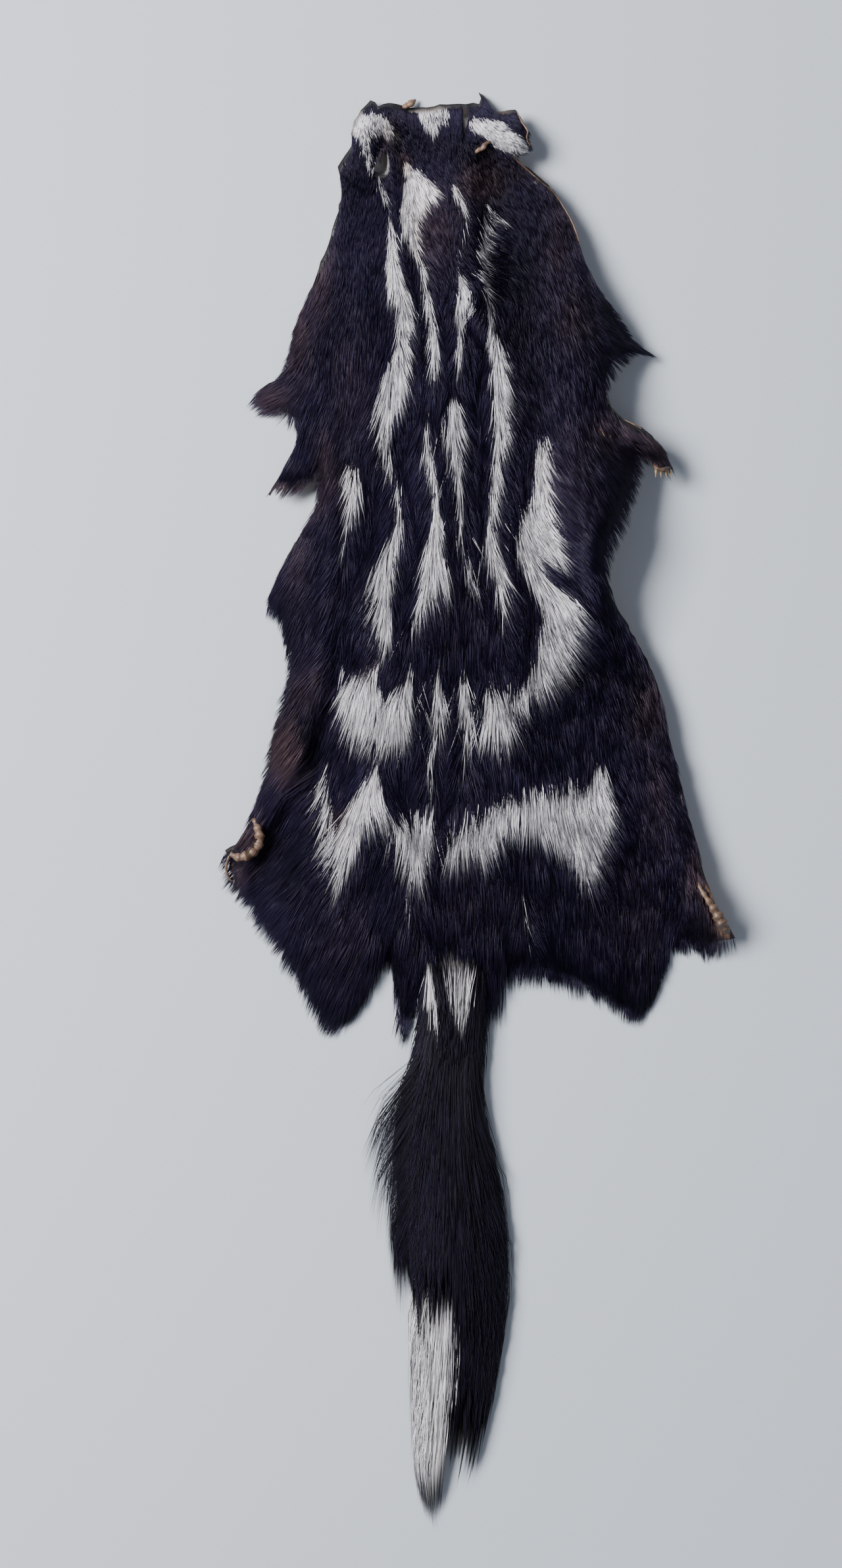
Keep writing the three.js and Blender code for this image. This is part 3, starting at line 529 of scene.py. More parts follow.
# %% Patches
PATCHES = {
    "left side": [(-29.5, 118.6), (-27, 119.4), (-24.2, 116), (-22.6, 110), (-23, 104), (-25.4, 99),
                  (-27.6, 94.6), (-29.8, 97), (-30.4, 103), (-30.6, 111)],
    "left brow": [(-24.6, 256), (-19, 256.8), (-14.4, 256.4), (-11.6, 254), (-9.8, 250.6), (-9.4, 246.4),
                  (-11.6, 246.4), (-14.2, 248), (-17, 248.6), (-19, 247), (-18.8, 244), (-18.5, 240),
                  (-19, 236), (-20, 232.6), (-20.9, 236), (-22.2, 241), (-23.8, 245.2), (-26, 248.6),
                  (-26.6, 252.6)],
    "forehead": [(-3.6, 259.8), (11.4, 260.6), (10.6, 256), (9.6, 253.4), (7.6, 252.4), (6.4, 250),
                 (4.6, 247.4), (3.4, 249.4), (0.2, 253.4), (-1.8, 257)],
    "nape wedge": [(-6.6, 239), (-4, 237), (-0.4, 234.6), (4.2, 231), (8.8, 226.8), (7.4, 224.2),
                   (4, 221.4), (1.4, 217.6), (1.1, 213), (1, 207), (1.4, 201), (1.8, 196), (-0.8, 197.5),
                   (-3, 201.5), (-5.4, 206.5), (-6.8, 211), (-8.4, 217), (-8.2, 222), (-6.9, 229),
                   (-6, 234.5)],
    "right cheek": [(18.6, 252.6), (20.6, 254.8), (25.6, 254.8), (29.6, 255.2), (32.2, 254.4), (34.6, 251.4),
                    (37.6, 249.4), (40, 247.4), (42, 245.2), (41.6, 242.6), (38.4, 241.2), (34.4, 241.8),
                    (30.6, 243.8), (26.7, 246.2), (23.8, 248.6), (20, 250.6)],
    "right flank stripe": [(43.8, 123.6), (46.2, 128.6), (48.6, 130.8), (51, 131), (51.6, 128), (50.8, 123.6),
                           (51.3, 118.7), (51.9, 112), (54, 106), (54, 98.6), (55.2, 92), (58.6, 82),
                           (54, 82.6), (49.2, 85.6), (47.6, 84.8), (50.4, 79.8), (53.4, 76.2), (58, 71),
                           (63.6, 65.4), (65.2, 62), (63.8, 58), (63.2, 53), (61, 47), (59.2, 42.4),
                           (56, 38), (50.6, 33), (43.8, 28.6), (35.6, 30.6), (41.4, 39), (44, 46),
                           (45.2, 52.7), (45.8, 59), (46.4, 65.5), (45.6, 70), (42, 75.2), (38.4, 81.5),
                           (36.1, 88), (36.3, 94.5), (38.8, 100.6), (43, 109), (43.8, 116)],
    "first band, left": [(-24.5, 41.6), (-20.5, 40.8), (-18, 37.8), (-14.8, 31.5), (-12, 32.4), (-9.6, 36.2),
                         (-6, 39), (-3.6, 38.6), (-1.5, 31), (-2.4, 24), (-3.6, 15), (-4.4, 10.4),
                         (-8.4, 12.4), (-13, 8), (-15.6, 13.4), (-18.6, 11), (-22.5, 14.4), (-26, 13.6),
                         (-29.6, 16), (-31.4, 21), (-33.3, 27), (-33.7, 32), (-30.6, 38)],
    "first band, right": [(25.6, 36.8), (24, 31), (23.4, 25), (22.2, 18), (22.6, 14), (26, 14), (31, 12.8),
                          (36, 14.2), (38, 18), (39, 23.5), (42.6, 29), (36, 30.8), (32, 31.2), (28.8, 33.2)],
    "second band, left arm": [(-18.4, 12), (-19.4, 4), (-22.5, -3.5), (-27.4, -8), (-29.6, -13),
                              (-32.6, -20), (-36.4, -19.6), (-38.8, -25), (-38.4, -31.5), (-36.6, -36),
                              (-32.4, -47), (-28.8, -38), (-25.8, -31), (-22.8, -25.6), (-20.4, -21.2),
                              (-17.5, -18.4), (-14.2, -19.4), (-11.6, -22.6), (-10.6, -12), (-14.4, -4),
                              (-15.8, 3)],
    "second band, middle": [(-14.6, -6), (-11.5, -14.4), (-8, -17), (-3, -16.8), (2, -16.4), (4.9, -15),
                            (4.8, -20), (3.8, -30), (2, -39), (-1.4, -43), (-4.8, -39.6), (-8.4, -33),
                            (-11.2, -25.6), (-12.8, -18)],
    "second band, right": [(12.4, -22), (20, -16.4), (30, -11), (38, -6.6), (46, -6.6), (51, -5.6), (56, -4.4),
                           (62, -2.6), (66, 1.4), (69.4, 4.4), (72.8, 2), (75, -5), (76, -14), (75.2, -20),
                           (72.2, -26), (71.8, -31), (66.4, -44), (63, -42.6), (60, -36.6), (55, -30),
                           (50, -25.6), (45, -24.6), (40, -22.4), (36.4, -20), (33, -23), (30.6, -28.6),
                           (26, -32.4), (20, -33.4), (14, -34.6), (8.8, -35.4), (9.2, -28), (10.8, -22)],
}


def whiteness(places):
    """How far each place lies inside the nearest white marking, in mm, and less than 0 outside."""
    depth = np.full(len(places), -np.inf)
    for stripe in STRIPES:
        line = np.array(stripe, float)
        widths = np.column_stack([line[:-1, 2], line[1:, 2]])
        gap = to_segments(places, line[:-1, :2], line[1:, :2], widths)[0]
        depth = np.maximum(depth, -gap)
    for outline in PATCHES.values():
        ring = np.array(outline, float)
        gap = to_segments(places, ring, np.roll(ring, -1, axis=0))[0]
        depth = np.maximum(depth, np.where(inside(places, ring), gap, -gap))
    return depth


whiteness = on_grid(whiteness)


# %% [markdown]
# ## Bare skin
# Where the hair has gone the tan rawhide shows: on rolled rims, at the feet and around the eyes.

# %% Bare places
BARE = [
    [(34, 242, 0.3), (41, 236, 0.5), (50, 229, 0.7), (58, 216, 0.8), (61, 207, 0.4)],
    [(20, 241.6, 0.8), (22.6, 243.8, 1.3), (26, 246.6, 0.9)],
    [(-8.3, 242.6, 0.7), (-7, 240, 0.6)],
    [(59.6, 181.4, 0.7), (61.6, 176.6, 0.6)],
    [(68.6, 137, 0.7), (70.4, 134.4, 1.2), (72.4, 133.6, 0.9)],
    [(79.2, 139.6, 0.7), (84, 137, 0.5)],
    [(86, 128, 0.8), (89, 125.6, 1)],
    [(90.4, 121.8, 1.5), (95, 122.2, 1.6)],
    [(-31, 183, 0.7), (-31, 180, 0.4)],
    [(100.4, -4.6, 0.9), (101.4, -9.6, 0.7)],
    [(106.4, -36, 0.7), (108.6, -41, 1.2), (112.6, -48, 1.6), (115.6, -54, 2.4), (118, -58.4, 1.8)],
    [(-73.4, -29, 0.6), (-73.4, -33, 0.6)],
    [(-69.8, -21.6, 0.5), (-67.4, -20.4, 0.4)],
    [(-64.2, -15, 1.4), (-62.8, -19.6, 1.8), (-63.8, -24.4, 1.8), (-67, -27.4, 1.8), (-71.4, -28, 1.4)],
    [(-9, -84, 0.8), (-9, -88, 0.7)],
    [(-58.6, 110.6, 0.8), (-56.4, 113, 0.5)],
    [(-18.5, 13.6, 0.3), (-18.6, 10.4, 0.5)],
    [(16, 261.2, 0.4), (20, 260.8, 0.5)],
    [(30, 259.4, 0.4), (35.6, 259.6, 0.6)],
    [(39.6, 254, 0.3), (41, 250.6, 0.5), (41.6, 246, 0.5)],
]


def bareness(places):
    """How bare the skin is, from 0 under the coat to 1 where it shows."""
    depth = np.full(len(places), -np.inf)
    for stripe in BARE:
        line = np.array(stripe, float)
        widths = np.column_stack([line[:-1, 2], line[1:, 2]])
        depth = np.maximum(depth, -to_segments(places, line[:-1, :2], line[1:, :2], widths)[0])
    return np.clip(0.5 + depth / 1.2, 0, 1)


bareness = on_grid(bareness)


# %% [markdown]
# ## How the coat lies
# The comb gives the lean of the hair at some forty places, in degrees from straight back and plus to the
# right. Between them the lean is a weighted mean. The hair is short on the face and long on the rump.

# %% Lie and length
COMB = np.array([
    (-20, 252, 8), (-5, 250, 28), (8, 252, -4), (30, 250, 48), (-27, 220, -6), (-3, 222, 10), (4, 228, 30),
    (16, 215, 10), (26, 212, 48), (26, 195, 58), (23, 180, -20), (29, 170, 8), (50, 212, 20), (80, 168, 55),
    (-58, 148, -60), (-48, 180, -35), (-28, 160, 0), (-6, 178, 8), (15, 165, 0), (33, 150, 14),
    (62, 150, 12), (-54, 114, -40), (86, 132, 48), (-56, 78, -36), (-28, 95, -5), (2, 80, 0), (28, 85, 14),
    (55, 86, 40), (60, 52, 24), (78, 60, 25), (-62, 12, -44), (-30, 25, -6), (5, 20, 0), (60, 15, 10),
    (98, 0, 20), (-40, -10, -20), (-12, -15, 4), (30, -20, 4), (66, -30, 16), (108, -45, 20), (-62, -40, -42),
    (-46, 38, -42), (-40, 60, -18), (-36, 30, -12), (-48, 0, -34), (-52, -25, -36), (-44, 140, -12),
    (-27, 112, -3), (-29, 98, -3), (-34, 108, -12), (-43, 106, -45), (-46, 84, -31), (-38, 84, -14),
    (-36, -62, -24), (4, -60, 2), (60, -62, 6), (98, -55, -6), (84, -74, 0),
], float)
LENGTH_BY_Y = np.array([(-95, 24), (0, 24), (80, 21), (150, 18), (200, 12), (236, 7), (262, 4)], float)
SPINE_X = 12
SIDE_REACH = 110
SIDE_LENGTH = 0.55


def smooth_step(t):
    """Eases a share from 0 to 1."""
    t = np.clip(t, 0, 1)
    return t * t * (3 - 2 * t)


def lie(places):
    """The lean of the hair in radians."""
    weights = 1 / (((places[:, None] - COMB[None, :, :2]) ** 2).sum(-1) + 16) ** 1.5
    return np.radians((weights * COMB[:, 2]).sum(1) / weights.sum(1))


lie = on_grid(lie)


def hair_length(places):
    """Length of the hair in mm."""
    length = np.interp(places[:, 1], LENGTH_BY_Y[:, 0], LENGTH_BY_Y[:, 1])
    side = smooth_step(np.abs(places[:, 0] - SPINE_X) / SIDE_REACH)
    return length * (1 - (1 - SIDE_LENGTH) * side)


def ripple(places, wave, seed):
    """Smooth waves without a pattern, between about -1 and 1, for slow changes over the coat."""
    draws = np.random.default_rng(seed)
    total = np.zeros(len(places))
    for bearing in draws.uniform(0, 2 * math.pi, 7):
        ahead = places @ (math.cos(bearing), math.sin(bearing)) / (wave * draws.uniform(0.7, 1.4))
        total += np.sin(2 * math.pi * ahead + draws.uniform(0, 7))
    return total / 3.5


# %% [markdown]
# ## One hair
# A hair is a thin closed spindle with a triangular section: a point at the root, one or two rings of three
# points and a tip, so it takes six triangles for each ring. Hundreds of thousands of such faces are quick to
# make as arrays, so every coat piece is one mesh built that way. Each hair carries its shade, how far along it
# a point is, and a small patch on the skin's own unwrap for baking.

# %% Hair meshes
TRIANGLES_A_PIECE = 190000
PATCH = 0.003


def strand_faces(rings):
    """Corners of the triangles of one hair, with its point numbers going from root to tip."""
    tip = 3 * rings + 1
    faces = []
    for k in range(3):
        n = (k + 1) % 3
        faces.append((0, 1 + k, 1 + n))
        for ring in range(1, 3 * rings - 2, 3):
            faces += [(ring + k, ring + 3 + n, ring + n), (ring + k, ring + 3 + k, ring + 3 + n)]
        faces.append((tip - 3 + k, tip, tip - 3 + n))
    return np.array(faces)


def strand_points(paths, widths, ring_widths):
    """Root, ring points and tip of each hair from the places along it, all in mm."""
    points = [paths[:, 0]]
    for k, share in enumerate(ring_widths, 1):
        run = paths[:, k + 1] - paths[:, k]
        run /= np.linalg.norm(run, axis=1)[:, None] + 1e-9
        across = np.cross(run, (0, 0, 1.0))
        across /= np.linalg.norm(across, axis=1)[:, None] + 1e-9
        up = np.cross(across, run)
        half = (widths * share / 2)[:, None]
        low_side = paths[:, k] - up * half * 0.5
        points += [low_side - across * half, low_side + across * half, paths[:, k] + up * half]
    points.append(paths[:, -1])
    return np.stack(points, axis=1)


def coat_piece(name, points, marks, shares, patch_at, material):
    """One mesh of many hairs, with their marks, their run from root to tip, and their bake patches."""
    count, size = points.shape[:2]
    corners = strand_faces((size - 2) // 3)
    faces = (corners[None] + (np.arange(count) * size)[:, None, None]).reshape(-1, 3)
    mesh = bpy.data.meshes.new(name)
    mesh.vertices.add(count * size)
    mesh.vertices.foreach_set("co", to_frame(points[..., :2], points[..., 2]).astype(np.float32).ravel())
    mesh.loops.add(faces.size)
    mesh.loops.foreach_set("vertex_index", faces.astype(np.int32).ravel())
    mesh.polygons.add(len(faces))
    mesh.polygons.foreach_set("loop_start", np.arange(0, faces.size, 3, dtype=np.int32))
    mesh.polygons.foreach_set("use_smooth", np.ones(len(faces), bool))
    mesh.update(calc_edges=True)
    along = np.tile(np.concatenate([[0], np.repeat(shares[1:-1], 3), [1]]), count)
    mesh.attributes.new("along", "FLOAT", "POINT").data.foreach_set("value", along.astype(np.float32))
    for mark, values in marks.items():
        spread = np.repeat(values, size).astype(np.float32)
        mesh.attributes.new(mark, "FLOAT", "POINT").data.foreach_set("value", spread)
    spot = np.array([(0.5, 0)] + [(k / 2, share) for share in shares[1:-1] for k in range(3)] + [(0.5, 1)])
    unwrap = (patch_at[:, None] + (spot[None] - 0.5) * PATCH).reshape(-1, 2)
    mesh.uv_layers.new(name="OFBake").data.foreach_set("uv", unwrap[faces.ravel()].astype(np.float32).ravel())
    mesh.materials.append(material)
    piece = bpy.data.objects.new(name, mesh)
    bpy.context.collection.objects.link(piece)
    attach(piece, "root")
    return len(faces)


# %% [markdown]
# ## Fur
# Guard hair is smooth and glossy. Black hair is near black, and its root and tip colours carry a painted
# blue-violet cast of cool light, so it looks blue-black all over; it fades to a warm brown where it is short or
# worn. White hair is a greyish cream with a faint painted lavender cast, darker at its root. Each hair has its own
# shade, which also carries the painted light and shade of its place.

# %% Fur materials
def fur_material(name, root, tip, worn, spread, roughness, gloss):
    """Hair that goes from its root's colour to its tip's, with a worn colour and a shade for each hair."""
    material, tree, output = new_material(name)
    along = node(tree, "ShaderNodeAttribute", attribute_name="along")
    shade = node(tree, "ShaderNodeAttribute", attribute_name="shade")
    warmth = node(tree, "ShaderNodeAttribute", attribute_name="warmth")
    colour = node(tree, "ShaderNodeMix", {"Factor": along.outputs["Fac"]}, data_type="RGBA")
    colour.inputs["A"].default_value = hex_colour(root)
    colour.inputs["B"].default_value = hex_colour(tip)
    faded = node(tree, "ShaderNodeMix", {"Factor": warmth.outputs["Fac"], "A": colour.outputs["Result"]},
                 data_type="RGBA")
    faded.inputs["B"].default_value = hex_colour(worn)
    value = node(tree, "ShaderNodeMapRange", {"Value": shade.outputs["Fac"]}, clamp=False)
    value.inputs["To Min"].default_value = 1 - spread
    value.inputs["To Max"].default_value = 1 + spread
    toned = node(tree, "ShaderNodeHueSaturation", {"Color": faded.outputs["Result"],
                                                   "Value": value.outputs[0]})
    shader = node(tree, "ShaderNodeBsdfPrincipled", {"Base Color": toned.outputs[0]}, Roughness=roughness)
    shader.inputs["Specular IOR Level"].default_value = gloss
    tree.links.new(shader.outputs[0], output.inputs[0])
    return material


# Both fur colours carry a painted cool cast of the light: blue-violet in the black, faintly lavender in the white.
black_fur = fur_material("black guard hair", "#0b0918", "#221d3a", "#4f3d42", 0.42, 0.55, 0.2)
white_fur = fur_material("white guard hair", "#a39da6", "#fbf9fc", "#cdb8a4", 0.3, 0.6, 0.35)

# %% [markdown]
# ## Where the black is worn brown
# Each worn place is a middle, its two reaches and how brown it is. They lie along the neck's rims, between the
# eyes, on the forelegs and down the left flank.

# %% Worn places
WORN = np.array([
    (6, 212, 9, 16, 0.4), (24, 231, 9, 8, 0.8), (36, 236, 10, 6, 0.3), (54, 205, 8, 26, 0.3),
    (60, 178, 9, 14, 0.4), (-40, 205, 6, 30, 0.6), (-48, 172, 7, 20, 0.5), (-58, 148, 10, 8, 0.5),
    (-12, 248, 5, 8, 0.4), (-6, 238, 3, 5, 0.7), (-28, 150, 10, 30, 0.18), (-37, 120, 5, 16, 0.5),
    (-53, 12, 6, 13, 1.0), (-46, 34, 8, 14, 0.4), (-48, 84, 6, 20, 0.3), (-42, 106, 6, 6, 0.5),
    (-56, 112, 6, 3, 0.7), (-48, 112.6, 6, 2, 0.6), (74, 134, 12, 10, 0.4), (92, 126, 6, 6, 0.7),
    (84, 132, 10, 6, 0.4), (60, 120, 12, 22, 0.2), (88, 26, 8, 14, 0.5), (92, -6, 7, 26, 0.3),
    (108, -38, 7, 14, 0.6), (114, -54, 5, 8, 0.8), (-33, -15, 3, 4, 0.6), (-20, 42, 4, 3, 0.5),
    (-67, -22, 7, 8, 0.7), (-70, -34, 5, 6, 0.6), (84, -50, 14, 22, 0.18), (-30, -60, 14, 20, 0.16),
    (20, -50, 24, 10, 0.15), (12, 58, 14, 10, 0.14), (-26.5, 119, 3, 2, 0.6),
], float)


def worn_brown(places):
    """How brown the black coat is at each place."""
    total = np.zeros(len(places))
    for x, y, wide, long, strength in WORN:
        gap = ((places[:, 0] - x) / wide) ** 2 + ((places[:, 1] - y) / long) ** 2
        total = np.maximum(total, strength * np.exp(-gap))
    return total


# %% [markdown]
# ## Where hairs grow
# Roots are scattered evenly, closer together where the hair is short so that the skin is covered all over.
# Neighbouring hairs lean on one another, so each hair's tip is drawn towards the tip of its own small lock,
# and the locks of a place towards those of a larger one.

# %% Roots of the coat
COAT_HAIRS = 172000
SMALL_LOCK = 2.4
LARGE_LOCK = 6.5


def scatter(spacing, density):
    """Places on the skin, one in each small cell of a grid with a chance of `density`."""
    cells = np.ceil((high - low) / spacing).astype(int)
    spots = np.stack(np.meshgrid(np.arange(cells[0]), np.arange(cells[1])), axis=-1).reshape(-1, 2)
    spots = low + (spots + chance.uniform(0, 1, spots.shape)) * spacing
    spots = spots[on_skin(spots)]
    return spots[chance.uniform(0, 1, len(spots)) < density(spots)]


def everywhere(places):
    """The same chance all over the skin."""
    return np.ones(len(places))


def hair_density(places):
    """Chance that a cell grows a hair: short fur is denser, and bare skin grows few."""
    return (4.0 / np.maximum(hair_length(places), 4.0)) ** 0.75 * (1 - 0.95 * bareness(places))


trial = scatter(2.0, hair_density)
spacing = 2.0 * math.sqrt(len(trial) / COAT_HAIRS)
roots = scatter(spacing, hair_density)
print("hairs of the coat:", len(roots))

# %% Paths of the coat's hairs
COAT_SHARES = np.array([0.0, 0.45, 1.0])
LIFT_PROFILE = np.array([0.0, 0.62, 1.0])
LIFT_SHARE = 0.18
SPLAY = 15.0
WANDER = 0.09
CLEAR_OF_SKIN = 0.3
LOCK_PULL = 0.3
TRIMS = 7
TRIM = 0.75


def splay(places):
    """Hair at a stripe's border leans out of it, by this angle in radians."""
    step = np.array([1.0, 0.0])
    slope = (whiteness(places + step) - whiteness(places - step)) / 2
    return -math.radians(SPLAY) * np.clip(slope, -1, 1) * np.exp(-((whiteness(places) / 5) ** 2))


def lay_hairs(roots, lean, length):
    """Places on the plan along each hair, which follows the lie of the coat from its root on."""
    middle = roots + np.column_stack([np.sin(lean), -np.cos(lean)]) * (0.6 * length)[:, None]
    later = lean + 0.8 * (lie(middle) - lie(roots)) + splay(middle)
    paths = []
    for share in COAT_SHARES:
        angle = lean + (later - lean) * share
        paths.append(roots + np.column_stack([np.sin(angle), -np.cos(angle)]) * (share * length)[:, None])
    return np.stack(paths, axis=1)


def nearest_lock(places, locks):
    """Number of the lock whose root is nearest to each place."""
    tree = kdtree.KDTree(len(locks))
    for k, place in enumerate(locks):
        tree.insert((place[0], place[1], 0), k)
    tree.balance()
    return np.array([tree.find((x, y, 0))[1] for x, y in places])


def grow_locks(spacing, spread):
    """Locks of one size, as their roots and the tips that their hairs are drawn to."""
    locks = scatter(spacing, everywhere)
    length = hair_length(locks) * np.clip(chance.normal(1.06, 0.13, len(locks)), 0.6, 1.5)
    lean = lie(locks) + chance.normal(0, spread, len(locks)) + WANDER * ripple(locks, 30, 3)
    return locks, lay_hairs(locks, lean, length)[:, -1]


small_locks, small_tips = grow_locks(SMALL_LOCK, 0.09)
large_locks, large_tips = grow_locks(LARGE_LOCK, 0.1)
own_lock = nearest_lock(roots, small_locks)
own_large = nearest_lock(roots, large_locks)

length = hair_length(roots) * np.clip(chance.normal(1, 0.17, len(roots)), 0.45, 1.5)
lean = lie(roots) + chance.normal(0, 0.07, len(roots)) + WANDER * ripple(roots, 30, 3)
near_edge = to_edge(roots)
for _ in range(TRIMS):
    plan = lay_hairs(roots, lean, length)
    drawn = plan[:, -1] + (small_tips[own_lock] - plan[:, -1]) * LOCK_PULL
    drawn += (large_tips[own_large] - drawn) * 0.16
    plan += (drawn - plan[:, -1])[:, None] * (COAT_SHARES**1.5)[None, :, None]
    beyond = past_fringe(plan[:, -1])
    for share in (0.4, 0.7):
        between = plan[:, 0] + (plan[:, -1] - plan[:, 0]) * share
        beyond = np.maximum(beyond, past_fringe(between))
    covers = bareness(plan[:, -1]) - bareness(roots) > 0.45
    length[(beyond > chance.normal(0, 0.5, len(roots))) | covers] *= TRIM
lift = length * LIFT_SHARE * chance.uniform(0.15, 1.0, len(roots)) ** 0.8
lift *= smooth_step(0.3 + near_edge / 9)
heights = np.stack([skin_top(plan[:, k]) for k in range(len(COAT_SHARES))], axis=1)
heights[:, 0] -= 0.5
heights[:, 1:] += CLEAR_OF_SKIN
heights = np.maximum(heights, 0.3) + lift[:, None] * LIFT_PROFILE
paths = np.concatenate([plan, heights[..., None]], axis=-1)
print("tallest hair:", round(paths[:, :, 2].max(), 1), "mm")

# %% Colour of the coat's hairs
SHOWING = 0.72
FEW_BLACK = 0.035
# Places where white markings take more black hairs: real grey places, and beside the neck's fold painted shade
# where a stripe lies in the fold's shadow.
GREY_AND_SHADED = np.array([(-21, 242, 4, 6, 0.5), (-16.6, 249, 4, 3, 0.5), (26, 198, 7, 13, 0.42), (8, 256, 6, 7, 0.5),
                 (28, 216, 7, 8, 0.55), (-16, 232, 4, 6, 0.35), (27, 176, 4, 6, 0.3), (16, 205, 4, 9, 0.4),
                 (-11, 212, 4, 6, 0.25), (4, 12, 4, 12, 0.4), (16, 0, 4, 12, 0.45), (-30, 84, 5, 13, 0.5),
                 (-34, 47, 3, 9, 0.6)], float)


# Places (x, y, wide, long, strength) where the coat is painted lighter or darker: minus is painted shade in a fold,
# hollow or crease, plus is painted light where the skin catches the light.
PAINTED_LIGHT_SHADE_AND_TONE = np.array([
    (74, 39, 20, 6, -0.5), (40, 190, 9, 34, -0.5), (42, 150, 8, 26, -0.3), (19, 205, 4, 10, -0.5),
    (-52, -34, 9, 14, -0.5), (-44, 12, 4, 16, -0.5), (-49, 118, 7, 5, -0.4), (4, 246, 14, 6, -0.4),
    (78, -76, 10, 12, -0.3), (20, 242, 8, 5, -0.4), (-32, 110, 1, 60, -0.3), (38, 12, 4, 10, -0.3),
    (-7.8, 222, 1.2, 18, -0.4), (0, 226, 8, 12, 0.6), (-10, 200, 5, 16, 0.3), (30, 250, 10, 8, 0.3),
    (50, -10, 30, 14, 0.35), (-15, 70, 7, 26, 0.2), (50, 100, 9, 40, 0.2), (2, 130, 30, 60, 0.15),
    (96, 0, 12, 40, 0.2), (-20, 30, 16, 14, 0.2), (-24, -14, 16, 16, 0.15),
], float)


def painted_light_shade_and_tone(places):
    """How much lighter or darker the coat is painted at each place: painted shade in folds, hollows and crease
    lines, painted light where the skin catches the light, and some broad tone.
    """
    total = np.zeros(len(places))
    for x, y, wide, long, strength in PAINTED_LIGHT_SHADE_AND_TONE:
        gap = ((places[:, 0] - x) / wide) ** 2 + ((places[:, 1] - y) / long) ** 2
        total += strength * np.exp(-gap)
    return total


def mixed_black(places):
    """Share of black hairs among the white ones, higher where a marking is grey, and beside the neck's fold, where
    the black hairs are painted shade on a stripe in the fold's shadow.
    """
    share = np.full(len(places), FEW_BLACK)
    for x, y, wide, long, strength in GREY_AND_SHADED:
        gap = ((places[:, 0] - x) / wide) ** 2 + ((places[:, 1] - y) / long) ** 2
        share = np.maximum(share, strength * np.exp(-gap))
    return share


seen = roots + (plan[:, -1] - roots) * SHOWING
lock_seen = small_locks + (small_tips - small_locks) * SHOWING
in_white = 0.68 * whiteness(seen) + 0.32 * whiteness(lock_seen)[own_lock]
is_white = in_white + chance.normal(0, 0.45, len(roots)) > 0
is_white &= chance.uniform(0, 1, len(roots)) > mixed_black(seen)
lock_shade = chance.uniform(0, 1, len(small_locks))[own_lock]
strand_shade = 0.58 * chance.uniform(0, 1, len(roots)) + 0.24 * lock_shade
# The shade mark holds each hair's random tone plus the painted light and shade of its place.
marks = {
    "shade": strand_shade + 0.16 * ripple(roots, 34, 5) + painted_light_shade_and_tone(seen),
    "warmth": np.clip(worn_brown(seen) + chance.normal(0, 0.1, len(roots)), 0, 1),
}
HAIR_WIDTH = 0.34
widths = HAIR_WIDTH * np.clip(length / 14, 0.6, 1.0) * chance.uniform(0.7, 1.25, len(roots))
print("white hairs:", int(is_white.sum()))

# %% [markdown]
# ## The unwrap for baking
# The skin is a bent sheet, so it unrolls flat: each place keeps its y, and its distance along the bent
# surface from the left edge takes the place of x.

# %% Unrolled places
UNWRAP_STEP = 2.0
UNWRAP_ROW = 4.0
UNWRAP_SIZE = 620.0
across = np.arange(low[0] - 10, high[0] + 10, UNWRAP_STEP)
down = np.arange(low[1] - 220, high[1] + 10, UNWRAP_ROW)


def row_run(y):
    """Distance along the bent skin at each place of one row."""
    rise = np.diff(under(np.column_stack([across, np.full(len(across), y)])))
    return np.concatenate([[0], np.cumsum(np.hypot(UNWRAP_STEP, rise))])


runs = np.array([row_run(y) for y in down])


def unrolled(places):
    """Where a place of the skin lies on the flat unwrap, from 0 to 1."""
    row = np.clip((places[:, 1] - down[0]) / UNWRAP_ROW, 0, len(down) - 1.001).astype(int)
    column = np.clip((places[:, 0] - across[0]) / UNWRAP_STEP, 0, len(across) - 1.001)
    left = column.astype(int)
    share = column - left
    flat_x = runs[row, left] * (1 - share) + runs[row, left + 1] * share
    return np.column_stack([flat_x, places[:, 1] - down[0]]) / UNWRAP_SIZE + 0.02


# %% Coat pieces by region and colour
REGIONS = [("face", 228, 400), ("nape", 182, 228), ("shoulders", 124, 182), ("back", 62, 124),
           ("loin", -4, 62), ("rump", -400, -4)]


def grow(region, chosen, paths, widths, marks, shares, ring_widths, patch_at):
    """Makes the coat pieces of one region, black and white apart, each under the size limit."""
    total = 0
    for colour, material, mask in (("black", black_fur, ~chosen), ("white", white_fur, chosen)):
        picked = np.flatnonzero(mask)
        triangles = len(picked) * 6 * len(ring_widths)
        parts = max(1, math.ceil(triangles / TRIANGLES_A_PIECE))
        for number, part in enumerate(np.array_split(picked, parts), 1):
            name = f"{region}_{colour}_fur" + (f"_{number}" if parts > 1 else "")
            points = strand_points(paths[part], widths[part], ring_widths)
            own_marks = {mark: values[part] for mark, values in marks.items()}
            total += coat_piece(name, points, own_marks, shares, patch_at[part], material)
    return total


coat_triangles = 0
patches = unrolled(roots)
for region, bottom, top in REGIONS:
    mask = (roots[:, 1] >= bottom) & (roots[:, 1] < top)
    own_marks = {mark: values[mask] for mark, values in marks.items()}
    coat_triangles += grow(region, is_white[mask], paths[mask], widths[mask], own_marks, COAT_SHARES, [1.0],
                           patches[mask])
print("triangles in the coat:", coat_triangles)

# %% [markdown]
# ## The tail's brush
# The tail hair is three times as long as the coat. It springs from all round the tube, droops to the floor
# and fans out, most of all at the left of the tail's root. Its left half turns white towards the end.

